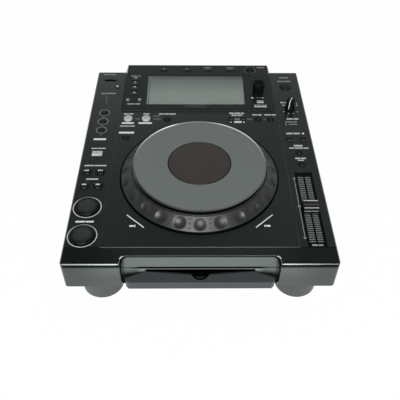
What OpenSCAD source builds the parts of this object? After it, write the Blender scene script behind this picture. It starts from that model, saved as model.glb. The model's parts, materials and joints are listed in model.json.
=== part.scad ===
// Tabletop DJ disc player with a slot drive, a large jog wheel and a sloping display hood.
// Millimetres, +Z up, the front faces -Y. The origin is at the middle of the footprint, on the table.

/* [Case] */
// Width of the deck
body_w = 305; // [303:1:309]
// Depth of the deck from its front face to its rear face
deck_d = 370.6; // [368:0.2:374]
// Height of the deck surface above the table
deck_z = 85; // [84.5:0.5:87]
// Height of the skirt round the deck
skirt_h = 40.4; // [40:0.2:42]
// Wall of the moulded deck shell
wall = 3; // [2.8:0.1:3.2]
// Bevel along the deck's edges
edge_bevel = 1.4; // [0.8:0.1:2]
// Corner radius of the deck in plan
corner_r = 4; // [2:0.5:6]
// Half width of the raised centre panel
panel_half_w = 111.5; // [111.2:0.1:112]
// Distance of the centre panel from the front face
panel_y = 23; // [20:0.5:26]
// Rise of the centre panel above the deck
panel_rise = 0.6; // [0.4:0.1:0.8]
// Clearance between fixed pieces that fit into each other
fit = 0.2; // [0.15:0.05:0.3]
// Radial clearance of shafts in their bores
run_fit = 0.06; // [0.04:0.01:0.09]

/* [Lower case] */
// Height of the tub's underside above the table
tub_z = 10; // [9:0.5:11]
// Wall of the tub
tub_wall = 2; // [1.6:0.1:2.4]
// Radius of a foot
foot_r = 25; // [24:0.2:25.2]
// Height of a foot
foot_h = 25; // [24:0.5:27]
// Distance of the feet from the sides of the case
foot_in_x = 35; // [34.8:0.1:36]
// Distance of the front feet from the front face
foot_in_y = 39.4; // [39:0.2:42]
// Distance of the rear feet from the rear face
foot_in_rear = 42.8; // [42.6:0.2:44]

/* [Disc slot] */
// Half width of the gap in the deck's front for the slot surround
notch_half_w = 87.5; // [87:0.25:88]
// Depth of that gap behind the front face
notch_d = 11.2; // [10.5:0.1:12]
// Depth of the disc slot's roof below the deck
slot_roof = 12.6; // [12.4:0.1:12.8]
// Half width of the disc slot
slot_half_w = 60.6; // [60.4:0.1:61]
// Depth of the lip's two high points below the deck
lip_crest = 17.3; // [17.2:0.1:17.8]
// Depth of the lip's low middle below the deck
lip_middle = 21.8; // [21:0.1:22.5]
// Reach of the lip in front of the deck's front face
lip_out = 3.4; // [2.5:0.1:4.5]
// Radius of the finger notch in the lip
finger_r = 11; // [10:0.5:12]
// Depth of the finger notch below the lip's middle
finger_deep = 4.6; // [4:0.2:5]
// Thickness of the lip's wall in front of the slot
lip_wall = 2.2; // [1.8:0.1:2.6]

/* [Jog wheel] */
// Distance of the jog axis behind the front face
jog_y = 139.5; // [139:0.5:141]
// Radius of the opening in the deck
jog_well_r = 98.5; // [98.3:0.1:99]
// Outer radius of the dimpled ring
jog_ring_r = 96.6; // [96:0.1:97.4]
// Radius of the top plate
jog_plate_r = 80.5; // [80:0.1:81]
// Height of the top plate's face above the deck
jog_top = 21.5; // [21:0.1:22]
// Radius of the centre window
jog_window_r = 38.3; // [37:0.1:39]
// Number of finger dimples
dimples = 24; // [20:1:25]
// Radius of the ball shape that forms a dimple
dimple_ball_r = 14.5; // [13:0.5:16]
// Depth of a dimple
dimple_deep = 2.1; // [1.5:0.1:2.3]

/* [Gears] */
// Teeth of the jog wheel's gear
jog_teeth = 80; // [76:4:84]
// Module of the jog wheel's gear
jog_module = 1.4; // [1.3:0.1:1.5]
// Teeth of the encoder gear
encoder_teeth = 18; // [18:4:22]
// Module of the sled rack and its gear
sled_module = 0.8; // [0.7:0.1:0.8]
// Teeth of the sled gear
sled_teeth = 18; // [18:2:20]
// Thinning of each tooth for play in the mesh
tooth_slack = 0.12; // [0.08:0.01:0.16]

/* [Display hood] */
// Width of the hood at the deck
hood_w = 220.4; // [219:0.2:222]
// Depth of the hood's top
hood_d = 101.4; // [101:0.2:102.4]
// Height of the hood's front edge above the deck
hood_front_h = 3.2; // [3:0.1:3.6]
// Height of the hood's rear edge above the deck
hood_rear_h = 10.7; // [10.4:0.1:11.4]
// Wall of the hood
hood_wall = 2.4; // [2.2:0.1:2.6]
// Reach of the hood behind the deck's rear face
hood_over = 2.6; // [2.4:0.1:3.2]
// Width of the display window
window_w = 141; // [138:0.5:142]
// Depth of the display window
window_d = 65.2; // [64:0.2:66]
// Thickness of the display window
window_t = 1.6; // [1.2:0.1:1.8]

/* [Keys] */
// Radius of the cue and play buttons
play_r = 14.2; // [13.5:0.1:14.4]
// Radius of the track and search buttons
search_r = 5.9; // [5.5:0.1:6.1]
// Radius of the small round keys
small_r = 4.5; // [4:0.1:4.8]
// Radius of the loop buttons
loop_r = 6; // [5.5:0.1:6.2]
// Travel of a key
key_travel = 1; // [0.8:0.1:1.1]
// Clearance round a key in its hole
key_fit = 0.35; // [0.3:0.05:0.45]
// Thickness of the flange that keeps a key in its hole
key_flange = 1.2; // [1:0.1:1.3]
// Width of the flange beyond the key
key_rim = 1.1; // [0.9:0.1:1.2]
// Bevel along the edges of the rectangular keys
key_bevel = 0.8; // [0.4:0.1:0.9]

/* [Tempo slider and knobs] */
// Travel of the slider to each side of its middle
tempo_travel = 50; // [48:1:51]
// Length of the slider cap
cap_l = 14; // [12:0.5:15]
// Width of the slider cap
cap_w = 18; // [16:0.5:19]
// Height of the slider cap above its recess
cap_h = 9; // [8:0.5:10]
// Radius of the rotary selector
selector_r = 8.6; // [8:0.1:9.2]
// Height of the rotary selector above the hood
selector_h = 15.5; // [14:0.5:16.5]
// Radius of the pointer knob at its base
pointer_r = 7.4; // [6.6:0.1:8]
// Height of the pointer knob above the deck
pointer_h = 15; // [13:0.5:16]
// Angle at which the pointer knob stands, anticlockwise from the middle of its turn
pointer_turn = -25; // [-60:5:60]

/* [Slot drive] */
// Depth of the disc plane below the deck
disc_plane = 15.2; // [15:0.1:15.4]
// Distance of the spindle behind the front face
spindle_y = 92; // [91:0.5:93]
// Travel of the pickup sled
sled_travel = 33; // [30:0.5:33]
// Radius of the sled's guide rods
rod_r = 1.5; // [1.3:0.1:1.6]

/* [Rear panel] */
// Reach of the phono jacks behind the deck's rear face
jack_out = 12; // [11:0.5:13]
// Outer radius of a phono jack
jack_r = 4.2; // [4:0.1:4.4]

/* [Hidden] */
$fn = 64;
eps = 0.01;
through = 60;

// Overall depth from the lip to the jacks, centred on the origin.
overall_d = lip_out + deck_d + jack_out;
front_y = lip_out - overall_d / 2;
half_w = body_w / 2;

// Control columns, measured in from the sides of the deck.
left_x = -(half_w - 19.5);
right_x = half_w - 21.5;

// The sides of the gap for the slot surround reach this far behind the front face.
return_y = 6.8;
// Floor of the hollow behind the lip, below the deck.
lip_shelf = -27;

// Hood: its front edge, slope and the places along it.
hood_y = deck_d + hood_over - hood_d;
hood_tilt = atan((hood_rear_h - hood_front_h) / hood_d);
hood_lean = 0.4;
apron_h = 14;
window_x = -3.8;
window_v = 10.6;
lcd_rim = 4;
lcd_left = window_x - window_w / 2 - lcd_rim;
lcd_right = window_x + window_w / 2 + lcd_rim;
lcd_rear = window_v + window_d + lcd_rim;

// Round keys of the deck: x, y, radius, height above the deck.
cue_key = [left_x, 84.5, play_r, 3];
play_key = [left_x, 40.5, play_r, 3];
track_back_key = [left_x - 8.3, 146, search_r, 1.8];
track_forward_key = [left_x + 8.3, 146, search_r, 1.8];
search_back_key = [left_x - 8.3, 121, search_r, 1.8];
search_forward_key = [left_x + 8.3, 121, search_r, 1.8];
cue_a_key = [left_x + 1, 267.5, small_r, 1.4];
cue_b_key = [left_x + 0.5, 248, small_r, 1.4];
cue_c_key = [left_x + 0.5, 229, small_r, 1.4];
usb_stop_key = [-(hood_w / 2 + 9.8), 331, 3.8, 1.2];
rear_row_y = hood_y - 18.8;
loop_in_key = [-98, rear_row_y, loop_r, 2.2];
loop_out_key = [-73, rear_row_y, loop_r, 2.2];
reloop_key = [-43.5, rear_row_y, small_r, 2];
beat_key = [-98, rear_row_y - 40, small_r, 2];
delete_key = [83, rear_row_y, small_r, 2];
memory_key = [101, rear_row_y, small_r, 2];
jog_mode_key = [(hood_w / 2 + half_w) / 2 - 0.35, 333, 8.4, 1.6];
tempo_range_key = [right_x + 0.5, 183.5, small_r, 1.6];
master_tempo_key = [right_x + 0.5, 160.5, small_r, 1.6];
ROUND_KEYS = [
  cue_key, play_key, track_back_key, track_forward_key, search_back_key, search_forward_key,
  cue_a_key, cue_b_key, cue_c_key, usb_stop_key, loop_in_key, loop_out_key, reloop_key, beat_key,
  delete_key, memory_key, jog_mode_key, tempo_range_key, master_tempo_key
];

// Rectangular keys of the deck: x, y, width, depth, height above the deck.
slip_key = [left_x + 0.5, 180.5, 13.4, 8.4, 1.6];
call_back_key = [45, rear_row_y, 7.4, 6.4, 1.8];
call_next_key = [62.5, rear_row_y, 7.4, 6.4, 1.8];
sync_key = [right_x - 9, 209, 9, 7.6, 1.6];
master_key = [right_x + 10, 209, 9, 7.6, 1.6];
RECT_KEYS = [slip_key, call_back_key, call_next_key, sync_key, master_key];

// Keys of the hood, in the hood's own plane: x, v, width, depth, height.
link_left = 9 - hood_w / 2;
link_right = lcd_left - 6.1;
source_x = (link_left + link_right) / 2;
browse_x = lcd_right + 17.7;
menu_v = lcd_rear + 11.4;
source_list = [for (v = [34.6, 47.2, 57.9, 68.5]) [source_x, v, 10.6, 5.8, 2.2]];
menu_list = [for (x = [-51.7, -16.7, 15.3, 49.3]) [x, menu_v, 14.6, 4.4, 2]];
browse_list = [[browse_x + 0.6, 16.6, 9.6, 5.6, 1.2], [browse_x, 7.3, 17.6, 5.2, 1.2]];
link_list = [for (x = [link_left, link_right]) [x, 19.8, 2.8, 1.6]];
info_key = [79.2, menu_v - 0.8, 5.3, 1.8];
HOOD_RECTS = concat(source_list, menu_list, browse_list);
HOOD_ROUNDS = concat(link_list, [info_key]);

// Key boards hang under the deck and under the hood.
board_t = 1.6;
board_drop = 5.6;
board_top = -(wall + board_drop);
left_board = [-half_w + 5, 22, -half_w + 37, 356];
right_board = [half_w - 37, 152.5, half_w - 5, 346];
rear_board = [-107, rear_row_y - 6, 113, rear_row_y + 12];
beat_board = [-107, rear_row_y - 49, -89, rear_row_y - 5];
left_bosses = [for (y = [62.5, 103, 200, 290]) [left_x - 12, y]];
right_bosses = [for (y = [172, 240, 308]) [right_x + 12, y]];
rear_bosses = [for (p = [[-58, 4.5], [0, 4.5], [72.6, 6], [-98, -23]]) [p[0], rear_row_y + p[1]]];
BOSSES = concat(left_bosses, right_bosses, rear_bosses);
boss_r = 2.6;
screw_r = 1.2;

// The hood's board, below the hood's skin.
hood_board_top = -(hood_wall + 7);
hood_posts = [[source_x + 5, 8], [source_x, 82], [30, 84], [hood_w / 2 - 15.2, 82], [hood_w / 2 - 8.2, 62]];
hood_board_half_w = hood_w / 2 - hood_wall - 2.3;
hood_board_v = [4, 77, 93];
// The opening in the deck under the hood narrows towards the rear.
deck_gap_half_w = hood_w / 2 - hood_wall - 1;
deck_gap_rear_half_w = deck_gap_half_w - 6.8;
deck_gap_step = deck_d - 21;
selector_at = [lcd_right + 16.8, 39.4];

// USB socket in the deck.
usb_at = [left_x + 1.5, 348];
usb_well = [19, 6.4];
usb_port = [13.2, 5.8];

// Pointer knob and tempo slider.
pointer_at = [right_x, 279];
tempo_x = right_x;
tempo_mid = 84.5;
tempo_rest = -3;
recess_deep = 1;
lever_w = 1.2;
lever_l = 6;
scale_half_w = 11;
scale_half_l = tempo_travel + cap_l / 2 + 4;
fader_half_w = 8;

// Tub under the deck.
skirt_z = deck_z - skirt_h;
tub_top = skirt_z + 1.4;
tub_floor = tub_z + tub_wall;
tub_front_top = 12;
tub_front_low = 30;
tub_side = 5.5;
tub_taper = 2;
rear_wall_y = deck_d - wall - fit;
drive_half_w = 68;
case_posts = concat([for (s = [-1, 1]) [s * (drive_half_w + 12), 44]],
  [for (s = [-1, 1]) [s * (deck_gap_rear_half_w + 7.5), deck_d - 12]]);
case_post_z = deck_z - 25;
feet_at = [for (s = [-1, 1]) for (y = [foot_in_y, deck_d - foot_in_rear]) [s * (half_w - foot_in_x), y]];

// Slot drive: heights above the table and its outline.
disc_z = deck_z - disc_plane;
drive_front = 22;
drive_rear = 168;
drive_plate = 1.5;
drive_floor = disc_z - 21.8;
guide_z = deck_z - slot_roof - 0.3;
drive_feet = [[-60, 40], [60, 40], [-60, 156], [60, 156]];
rod_x = 21;
rod_z = drive_floor + 8;
rod_front = spindle_y + 9.4;
rod_back = drive_rear - 4;
sled_l = 21;
sled_start = spindle_y + 14.4;
rack_x = rod_x + 8.6;
rack_z = drive_floor + 4.4;
rack_t = 3;
sled_gear_y = spindle_y + 28;
sled_gear_x = rack_x + sled_module * sled_teeth / 2;
motor_h = 9.5;
motor_shaft_r = 1.5;
side_motors = [[drive_half_w - 16, spindle_y + 40], [18 - drive_half_w, spindle_y - 40]];
roller_y = drive_front + 6;
roller_z = disc_z - 8.8;
roller_shaft_r = 1.6;

// Boards on the tub's floor.
standoff_h = 4;
board_rear = deck_d - foot_in_rear - foot_r - 4.8;
main_area = [-58, board_rear - 110, 124, board_rear];
supply_area = [tub_side + 7 - half_w, board_rear - 132, tub_side + 75 - half_w, board_rear];
// Their blocks, from the area's front left corner: x, y, width, depth, height above the board.
main_blocks = concat([for (x = [30, 70, 110]) [x, 40, 22, 22, 2]], [[110, 84, 50, 12, 7], [14, 14, 76, 6, 6]]);
supply_blocks = concat([for (i = [0:4]) [18 + 8 * i, 94, 2, 12, 20.4]], [[18, 98, 34, 2, 20.4], [18, 52, 32, 32, 25.4]]);
// Their round parts: x, y, radius, height above the board.
main_cans = [for (i = [0:3]) [30 + 14 * i, 100, 4, 11.4]];
supply_cans = concat([for (i = [0:2]) [18 + 15 * i, 30, 5, 17.4]], [[30, 119, 9, 23.4]]);

// Rear panel: its edges and the places of the connectors along it.
rear_panel_half_w = 132;
panel_z0 = tub_z + 3;
panel_z1 = skirt_z - 0.6;
panel_t = 1.2;
panel_y1 = rear_wall_y + panel_t;
row_z = (panel_z0 + panel_z1) / 2 - 1;
phono_x = [-66, -50, -26];
mini_x = [-6, 10];
lan_x = 36;
usb_x = 62;
inlet_x = 85;
power_x = -88;
power_r = 5.4;

// Jog wheel: heights above the deck.
ring_low = -1.5;
ring_edge = 3;
ring_high = 14.8;
carrier_top = 14.8;
carrier_low = 12;
carrier_r = jog_plate_r + 1.1;
post_r = 22;
display_r = 33;
hub_r = 27;
dish_floor = -(slot_roof - 3.8);
dish_t = 2;
dish_wall = 2.5;
gear_low = -2.5;
gear_t = 4;
encoder_y = jog_module * (jog_teeth + encoder_teeth) / 2;
encoder_pin_r = 2;

// ---------------------------------------------------------------- frames and outlines

// Places features given from the deck's front edge and the deck surface.
module on_deck() translate([0, front_y, deck_z]) children();

// Places features given from the deck's front edge and the table.
module on_table() translate([0, front_y, 0]) children();

// Places features on the hood's sloping top: v runs up the slope from its front edge.
module on_hood() on_deck() translate([0, hood_y, hood_front_h]) rotate([hood_tilt, 0, 0]) children();

// Places features on the jog axis, above the deck surface.
module on_jog() on_deck() translate([0, jog_y, 0]) children();

// Extrudes an outline in (y, z) along x, between x0 and x1.
module along_x(x0, x1) translate([x0, 0, 0]) rotate([90, 0, 90]) linear_extrude(x1 - x0) children();

// Extrudes an outline in (x, z) along y, between y0 and y1.
module along_y(y0, y1) translate([0, y1, 0]) rotate([90, 0, 0]) linear_extrude(y1 - y0) children();

// A block between two corners.
module block(low, high) translate(low) cube(high - low);

// A flat plate over the rectangle [x0, y0, x1, y1].
module plate(area, z0, z1) block([area[0], area[1], z0], [area[2], area[3], z1]);

// Points of an arc about [cx, cy].
function arc(cx, cy, r, a0, a1, n) =
  [for (i = [0:n]) let (a = a0 + (a1 - a0) * i / n) [cx + r * cos(a), cy + r * sin(a)]];

// A rectangle with round corners.
function rounded(x0, y0, x1, y1, r, n = 5) = concat(
  arc(x1 - r, y1 - r, r, 0, 90, n), arc(x0 + r, y1 - r, r, 90, 180, n),
  arc(x0 + r, y0 + r, r, 180, 270, n), arc(x1 - r, y0 + r, r, 270, 360, n));

// The deck's outline, set in by a distance.
function deck_outline(inset) =
  rounded(-half_w + inset, inset, half_w - inset, deck_d - inset, max(corner_r - inset, 0.6));

// A roof whose 45 degree sides bevel the top edges between w0 and w1 at height z.
function roof(w0, w1, z, bevel) = let (out = 5) [
  [w0 - out, z - through], [w1 + out, z - through], [w1 + out, z - bevel - out],
  [w1 - bevel - out, z + out], [w0 + bevel + out, z + out], [w0 - out, z - bevel - out]];

// Involute function, in degrees.
function involute(a) = tan(a) * 180 / PI - a;

// Half the angle that a tooth takes at radius r.
function half_tooth(r, pitch_r, teeth) = let (base_r = pitch_r * cos(20))
  90 / teeth - tooth_slack / pitch_r * 90 / PI + involute(20) - involute(acos(min(1, base_r / r)));

// Outline of a gear with involute flanks, a tooth on the +X axis.
function gear_outline(teeth, m) = let (
  pitch_r = m * teeth / 2,
  foot = pitch_r - 1.2 * m,
  start = max(foot + 0.05, pitch_r * cos(20)),
  tip = pitch_r + 0.9 * m,
  radii = [foot, start, (start + tip) / 2, tip]
) [for (k = [0:teeth - 1]) for (side = [-1, 1]) for (i = [0:3])
    let (r = radii[side < 0 ? i : 3 - i], a = 360 * k / teeth + side * half_tooth(max(r, start), pitch_r, teeth))
    [r * cos(a), r * sin(a)]];

// ---------------------------------------------------------------- keys

// A round key in the deck, its flange under the deck. top is the deck's rise where it stands.
module round_key(key, skin = wall, rise = 0) {
  r = key[2];
  proud = key[3] + rise;
  low = -skin - fit / 2;
  dome = r / 28;
  translate([key[0], key[1], 0])
    rotate_extrude()
      polygon(concat(
        [[0, low - key_flange], [r + key_rim, low - key_flange], [r + key_rim, low], [r, low], [r, proud - 0.7]],
        [for (i = [0:4]) let (x = (r - 0.7) * (1 - i / 4)) [x, proud + dome * (1 - pow(x / (r - 0.7), 2))]]));
}

// A rectangular key with bevelled long edges.
module rect_key(key, skin = wall, rise = 0) {
  w = key[2] / 2;
  d = key[3] / 2;
  proud = key[4] + rise;
  low = -skin - fit / 2;
  translate([key[0], key[1], 0]) {
    intersection() {
      block([-w, -d, low], [w, d, proud]);
      along_y(-d - 1, d + 1) polygon(roof(-w, w, proud, key_bevel));
      along_x(-w - 1, w + 1) polygon(roof(-d, d, proud, key_bevel));
    }
    block([-w - key_rim, -d - key_rim, low - key_flange], [w + key_rim, d + key_rim, low]);
  }
}

// The holes for round and rectangular keys.
module key_holes(rounds, rects) {
  for (k = rounds) translate([k[0], k[1], -through / 2]) cylinder(r = k[2] + key_fit, h = through);
  for (k = rects)
    block([k[0] - k[2] / 2 - key_fit, k[1] - k[3] / 2 - key_fit, -through / 2],
      [k[0] + k[2] / 2 + key_fit, k[1] + k[3] / 2 + key_fit, through / 2]);
}

// Push switches under the keys, from a board's top up to just below the pressed key.
module switches(keys, skin, top) {
  high = -skin - fit / 2 - key_flange - key_travel - 0.1;
  for (k = keys) translate([k[0], k[1], top]) {
    block([-3, -3, -eps], [3, 3, (high - top) * 0.6]);
    cylinder(r = 1.6, h = high - top);
  }
}

// ---------------------------------------------------------------- deck shell

// Plan of the gap in the deck's front, with round front edges and slanted rear corners.
module notch_plan(inset) {
  w = notch_half_w - inset;
  d = notch_d - inset;
  r = 2.6;
  right = concat([[w + r, -1]], arc(w + r, r, r, 270, 180, 6), [[w, d - 5], [w - 1.6, d - 1.6], [w - 6, d]]);
  polygon(concat(right, [for (i = [len(right) - 1:-1:0]) [-right[i][0], right[i][1]]]));
}

module top_case() {
  color([0.13, 0.14, 0.14]) on_deck() difference() {
    union() {
      difference() {
        intersection() {
          translate([0, 0, -skirt_h]) linear_extrude(skirt_h) polygon(deck_outline(0));
          along_y(-1, deck_d + 1) polygon(roof(-half_w, half_w, 0, edge_bevel));
          along_x(-half_w - 1, half_w + 1) polygon(roof(0, deck_d, 0, edge_bevel));
        }
        translate([0, 0, -skirt_h - 1]) linear_extrude(skirt_h + 1 - wall) polygon(deck_outline(wall));
      }
      centre_panel();
      // Returns beside the slot surround.
      for (s = [-1, 1])
        block([min(s * notch_half_w, s * (notch_half_w + wall)), wall - eps, -skirt_h],
          [max(s * notch_half_w, s * (notch_half_w + wall)), return_y, -wall + eps]);
      for (b = BOSSES) translate([b[0], b[1], board_top]) cylinder(r = boss_r, h = board_drop + eps);
      for (p = case_posts) translate([p[0], p[1], case_post_z - deck_z])
        cylinder(r = 4, h = deck_z - case_post_z - wall + eps);
    }
    translate([0, 0, -through]) linear_extrude(2 * through) notch_plan(0);
    translate([0, jog_y, -through]) cylinder(r = jog_well_r, h = 2 * through, $fn = 128);
    block([-deck_gap_half_w, hood_y + hood_wall + 1, -wall - 1], [deck_gap_half_w, deck_gap_step + eps, 2]);
    block([-deck_gap_rear_half_w, deck_gap_step, -wall - 1], [deck_gap_rear_half_w, deck_d - wall - 1, 2]);
    key_holes(ROUND_KEYS, RECT_KEYS);
    tempo_recess();
    translate([usb_at[0], usb_at[1], -wall - 1])
      block([-usb_well[0] / 2, -usb_well[1] / 2, 0], [usb_well[0] / 2, usb_well[1] / 2, wall + 2]);
    translate([pointer_at[0], pointer_at[1], -wall - 1]) cylinder(r = 4, h = wall + 2);
    for (b = BOSSES) translate([b[0], b[1], board_top - 1]) cylinder(r = screw_r, h = board_drop - 1);
    for (p = case_posts) translate([p[0], p[1], case_post_z - deck_z - 1]) cylinder(r = 1.5, h = 12);
  }
}

// Slightly raised panel between the control columns, from near the front to the hood.
module centre_panel() intersection() {
  block([-panel_half_w, panel_y, -eps], [panel_half_w, hood_y, panel_rise]);
  along_x(-half_w, half_w) polygon(roof(panel_y, hood_y + 8, panel_rise, panel_rise));
  along_y(0, deck_d) polygon(roof(-panel_half_w, panel_half_w, panel_rise, panel_rise));
}

// Sunk scale of the tempo slider, with the slot for its lever.
module tempo_recess() {
  block([tempo_x - scale_half_w, tempo_mid - scale_half_l, -recess_deep],
    [tempo_x + scale_half_w, tempo_mid + scale_half_l, 1]);
  block([tempo_x - lever_w / 2 - 0.5, tempo_mid - tempo_travel - lever_l / 2 - 1.5, -wall - 1],
    [tempo_x + lever_w / 2 + 0.5, tempo_mid + tempo_travel + lever_l / 2 + 1.5, 1]);
}

// ---------------------------------------------------------------- lower case and feet

// Cross-sections of the tub, set in by a wall.
function tub_side_profile(t, top) = [
  [tub_front_top + t, top], [tub_front_low + t, tub_z + t], [rear_wall_y - t, tub_z + t], [rear_wall_y - t, top]];
function tub_front_profile(t, top) = let (w = half_w - tub_side - t) [
  [-w, top], [tub_taper - w, tub_z + t], [w - tub_taper, tub_z + t], [w, top]];

module tub_solid(t, top) intersection() {
  along_x(-half_w, half_w) polygon(tub_side_profile(t, top));
  along_y(0, deck_d) polygon(tub_front_profile(t, top));
}

module bottom_case() {
  rim = wall + fit;
  color([0.1, 0.1, 0.1]) on_table() difference() {
    union() {
      difference() {
        union() {
          tub_solid(0, tub_top);
          translate([0, 0, tub_top - eps]) linear_extrude(tub_wall) polygon(deck_outline(rim));
        }
        tub_solid(tub_wall, tub_top + 2 * tub_wall);
        block([-notch_half_w - wall - 1, 0, tub_z], [notch_half_w + wall + 1, return_y + fit, through]);
      }
      for (p = feet_at) intersection() {
        translate([p[0], p[1], tub_z]) cylinder(r = foot_r + 2.4, h = foot_h - tub_z + 2);
        tub_solid(0, tub_top);
      }
      for (p = case_posts) translate([p[0], p[1], tub_z + eps]) cylinder(r = 5, h = case_post_z - tub_z - eps);
      for (p = drive_feet) translate([p[0], p[1], tub_z + eps]) cylinder(r = 5, h = drive_floor - tub_z - eps);
      for (p = board_posts()) translate([p[0], p[1], tub_z + eps]) cylinder(r = 3, h = tub_wall + standoff_h - eps);
    }
    for (p = feet_at) translate([p[0], p[1], tub_z - 1]) cylinder(r = foot_r + fit, h = foot_h - tub_z + 1);
    for (p = feet_at) translate([p[0], p[1], tub_z]) cylinder(r = 1.6, h = through / 2);
    for (p = case_posts) translate([p[0], p[1], tub_z - 1]) {
      cylinder(r = 3.4, h = case_post_z - tub_z - 3);
      cylinder(r = 1.7, h = through);
    }
    for (p = drive_feet) translate([p[0], p[1], drive_floor - 8]) cylinder(r = 1.2, h = 9);
    for (p = board_posts()) translate([p[0], p[1], tub_floor + 1]) cylinder(r = screw_r, h = standoff_h);
    for (x = [-3:4]) for (y = [200, 240]) plate([x * 12 - 2, y, x * 12 + 2, y + 28], tub_z - 1, tub_floor + 1);
    block([6 - rear_panel_half_w, rear_wall_y - tub_wall - 1, panel_z0 + 2], [rear_panel_half_w - 6, rear_wall_y + 1, panel_z1 - 2]);
  }
}

// Corners of the two boards on the tub's floor.
function board_posts() = [for (a = [main_area, supply_area]) for (x = [a[0] + 6, a[2] - 6])
  for (y = [a[1] + 6, a[3] - 6]) [x, y]];

module feet() {
  color([0.45, 0.46, 0.46]) on_table() for (p = feet_at) translate([p[0], p[1], 0])
    rotate_extrude($fn = 96)
      polygon([[6, 0], [foot_r - 1.2, 0], [foot_r, 1.2], [foot_r, foot_h], [1.7, foot_h], [1.7, foot_h - 8], [6, foot_h - 8]]);
}

// One screw: its head's underside at z = 0, the shank up +Z.
module screw(r, length, head_r, head_h) {
  translate([0, 0, -head_h]) cylinder(r = head_r, h = head_h);
  translate([0, 0, -eps]) cylinder(r = r, h = length);
}

module case_screws() {
  color([0.55, 0.55, 0.56]) {
    on_table() {
      for (p = feet_at) translate([p[0], p[1], foot_h - 8]) screw(1.45, 12, 3, 2);
      for (p = case_posts) translate([p[0], p[1], case_post_z - 4]) screw(1.35, 12, 3, 2);
      for (p = drive_feet) translate([p[0], p[1], drive_floor + drive_plate]) mirror([0, 0, 1]) screw(1.15, 8, 2.6, 1.6);
      for (p = board_posts()) translate([p[0], p[1], tub_floor + standoff_h + board_t]) mirror([0, 0, 1])
        screw(1.15, standoff_h, 2.4, 1.4);
    }
    on_deck() for (b = BOSSES) translate([b[0], b[1], board_top - board_t]) screw(1.15, 5, 2.4, 1.4);
    on_hood() for (p = hood_posts) translate([p[0], p[1], hood_board_top - board_t]) screw(1.15, 5, 2.4, 1.4);
  }
}

// ---------------------------------------------------------------- slot surround and lip

module slot_bezel() {
  beam = [[notch_d - fit, 0], [3.75, -9.7], [5, -9.7], [5, -10.7], [3, -10.7], [3, -slot_roof], [20, -slot_roof],
    [20, -wall], [notch_d - fit, -wall]];
  color([0.36, 0.38, 0.38]) on_deck() {
    intersection() {
      along_x(-notch_half_w, notch_half_w) polygon(beam);
      union() {
        translate([0, 0, -through]) linear_extrude(2 * through) notch_plan(fit);
        block([fit - notch_half_w, notch_d - fit - eps, -through], [notch_half_w - fit, 20, -wall]);
      }
    }
    for (s = [-1, 1]) {
      inner = s * (slot_half_w + 0.2);
      outer = s * (notch_half_w - fit);
      block([min(inner, outer), 3, -skirt_h + 2], [max(inner, outer), 6, -slot_roof + eps]);
      block([min(inner, inner + s * 3), 3, lip_shelf - lip_wall - 0.4], [max(inner, inner + s * 3), 20, -slot_roof + eps]);
    }
  }
}

// The lip below the slot: a sloping wall with a shallow V in its top edge and a hollow behind it.
module loading_lip() {
  low = -skirt_h + 0.2;
  crease = -29.6;
  side = 83.5;
  side_top = -24.6;
  side_bevel = 3.2;
  profile = [[-lip_out, low], [-lip_out, crease], [3, -lip_crest], [3 + lip_wall, -lip_crest],
    [lip_wall - 2.2, lip_shelf], [20, lip_shelf], [20, lip_shelf - lip_wall], [3, lip_shelf - lip_wall], [3, low]];
  face = [[1 - side, low - eps], [side - 1, low - eps], [side, low + 1], [side, side_top], [slot_half_w, -lip_crest],
    [0, -lip_middle], [-slot_half_w, -lip_crest], [-side, side_top], [-side, low + 1]];
  plan = [[-side, 30], [-side, side_bevel - lip_out], [side_bevel - side, -lip_out], [side - side_bevel, -lip_out],
    [side, side_bevel - lip_out], [side, 30]];
  color([0.26, 0.28, 0.28]) on_deck() difference() {
    intersection() {
      along_x(-side, side) polygon(profile);
      along_y(-lip_out - 1, 21) polygon(face);
      translate([0, 0, -through]) linear_extrude(2 * through) polygon(plan);
    }
    for (s = [-1, 1])
      block([min(s * slot_half_w, s * 100), 3, -through], [max(s * slot_half_w, s * 100), 30, 0]);
    translate([0, 6, finger_r - lip_middle - finger_deep]) rotate([90, 0, 0]) cylinder(r = finger_r, h = 12);
  }
}

// ---------------------------------------------------------------- display hood

// The hood's cross-section in (y, z): a sloping top and an apron behind the deck.
function hood_profile() = let (y1 = deck_d + hood_over) [
  [hood_y, 0], [hood_y + 0.6, hood_front_h], [y1, hood_rear_h], [y1, -apron_h], [deck_d + fit, -apron_h], [deck_d + fit, 0]];

// The hood seen from the front, drawn in by t: the ends lean in above the deck.
function hood_ends(t, low) = let (w = hood_w / 2 - t, top = hood_rear_h + 1) [
  [-w, low], [w, low], [w, 0], [w - hood_lean * top, top], [hood_lean * top - w, top], [-w, 0]];

module display_hood() {
  color([0.15, 0.17, 0.16]) difference() {
    on_deck() intersection() {
      along_x(-hood_w / 2, hood_w / 2) polygon(hood_profile());
      along_y(hood_y - 1, deck_d + 10) polygon(hood_ends(0, -apron_h));
    }
    intersection() {
      on_deck() along_y(hood_y + hood_wall, deck_d - 1) polygon(hood_ends(hood_wall, -through));
      on_hood() block([-hood_w, 0, -through], [hood_w, hood_d, -hood_wall]);
    }
    on_hood() {
      block([window_x - window_w / 2, window_v, -through], [window_x + window_w / 2, window_v + window_d, 5]);
      key_holes(HOOD_ROUNDS, HOOD_RECTS);
      translate([selector_at[0], selector_at[1], -through / 2]) cylinder(r = 3.6, h = through);
    }
  }
  color([0.15, 0.17, 0.16]) on_hood() for (p = hood_posts) translate([p[0], p[1], hood_board_top]) difference() {
    cylinder(r = boss_r, h = -hood_board_top - hood_wall + eps);
    translate([0, 0, -1]) cylinder(r = screw_r, h = 5);
  }
}

module display_window() {
  color([0.5, 0.55, 0.53, 0.5]) on_hood()
    block([window_x - window_w / 2 + fit / 2, window_v + fit / 2, -window_t],
      [window_x + window_w / 2 - fit / 2, window_v + window_d - fit / 2, 0]);
}

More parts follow.
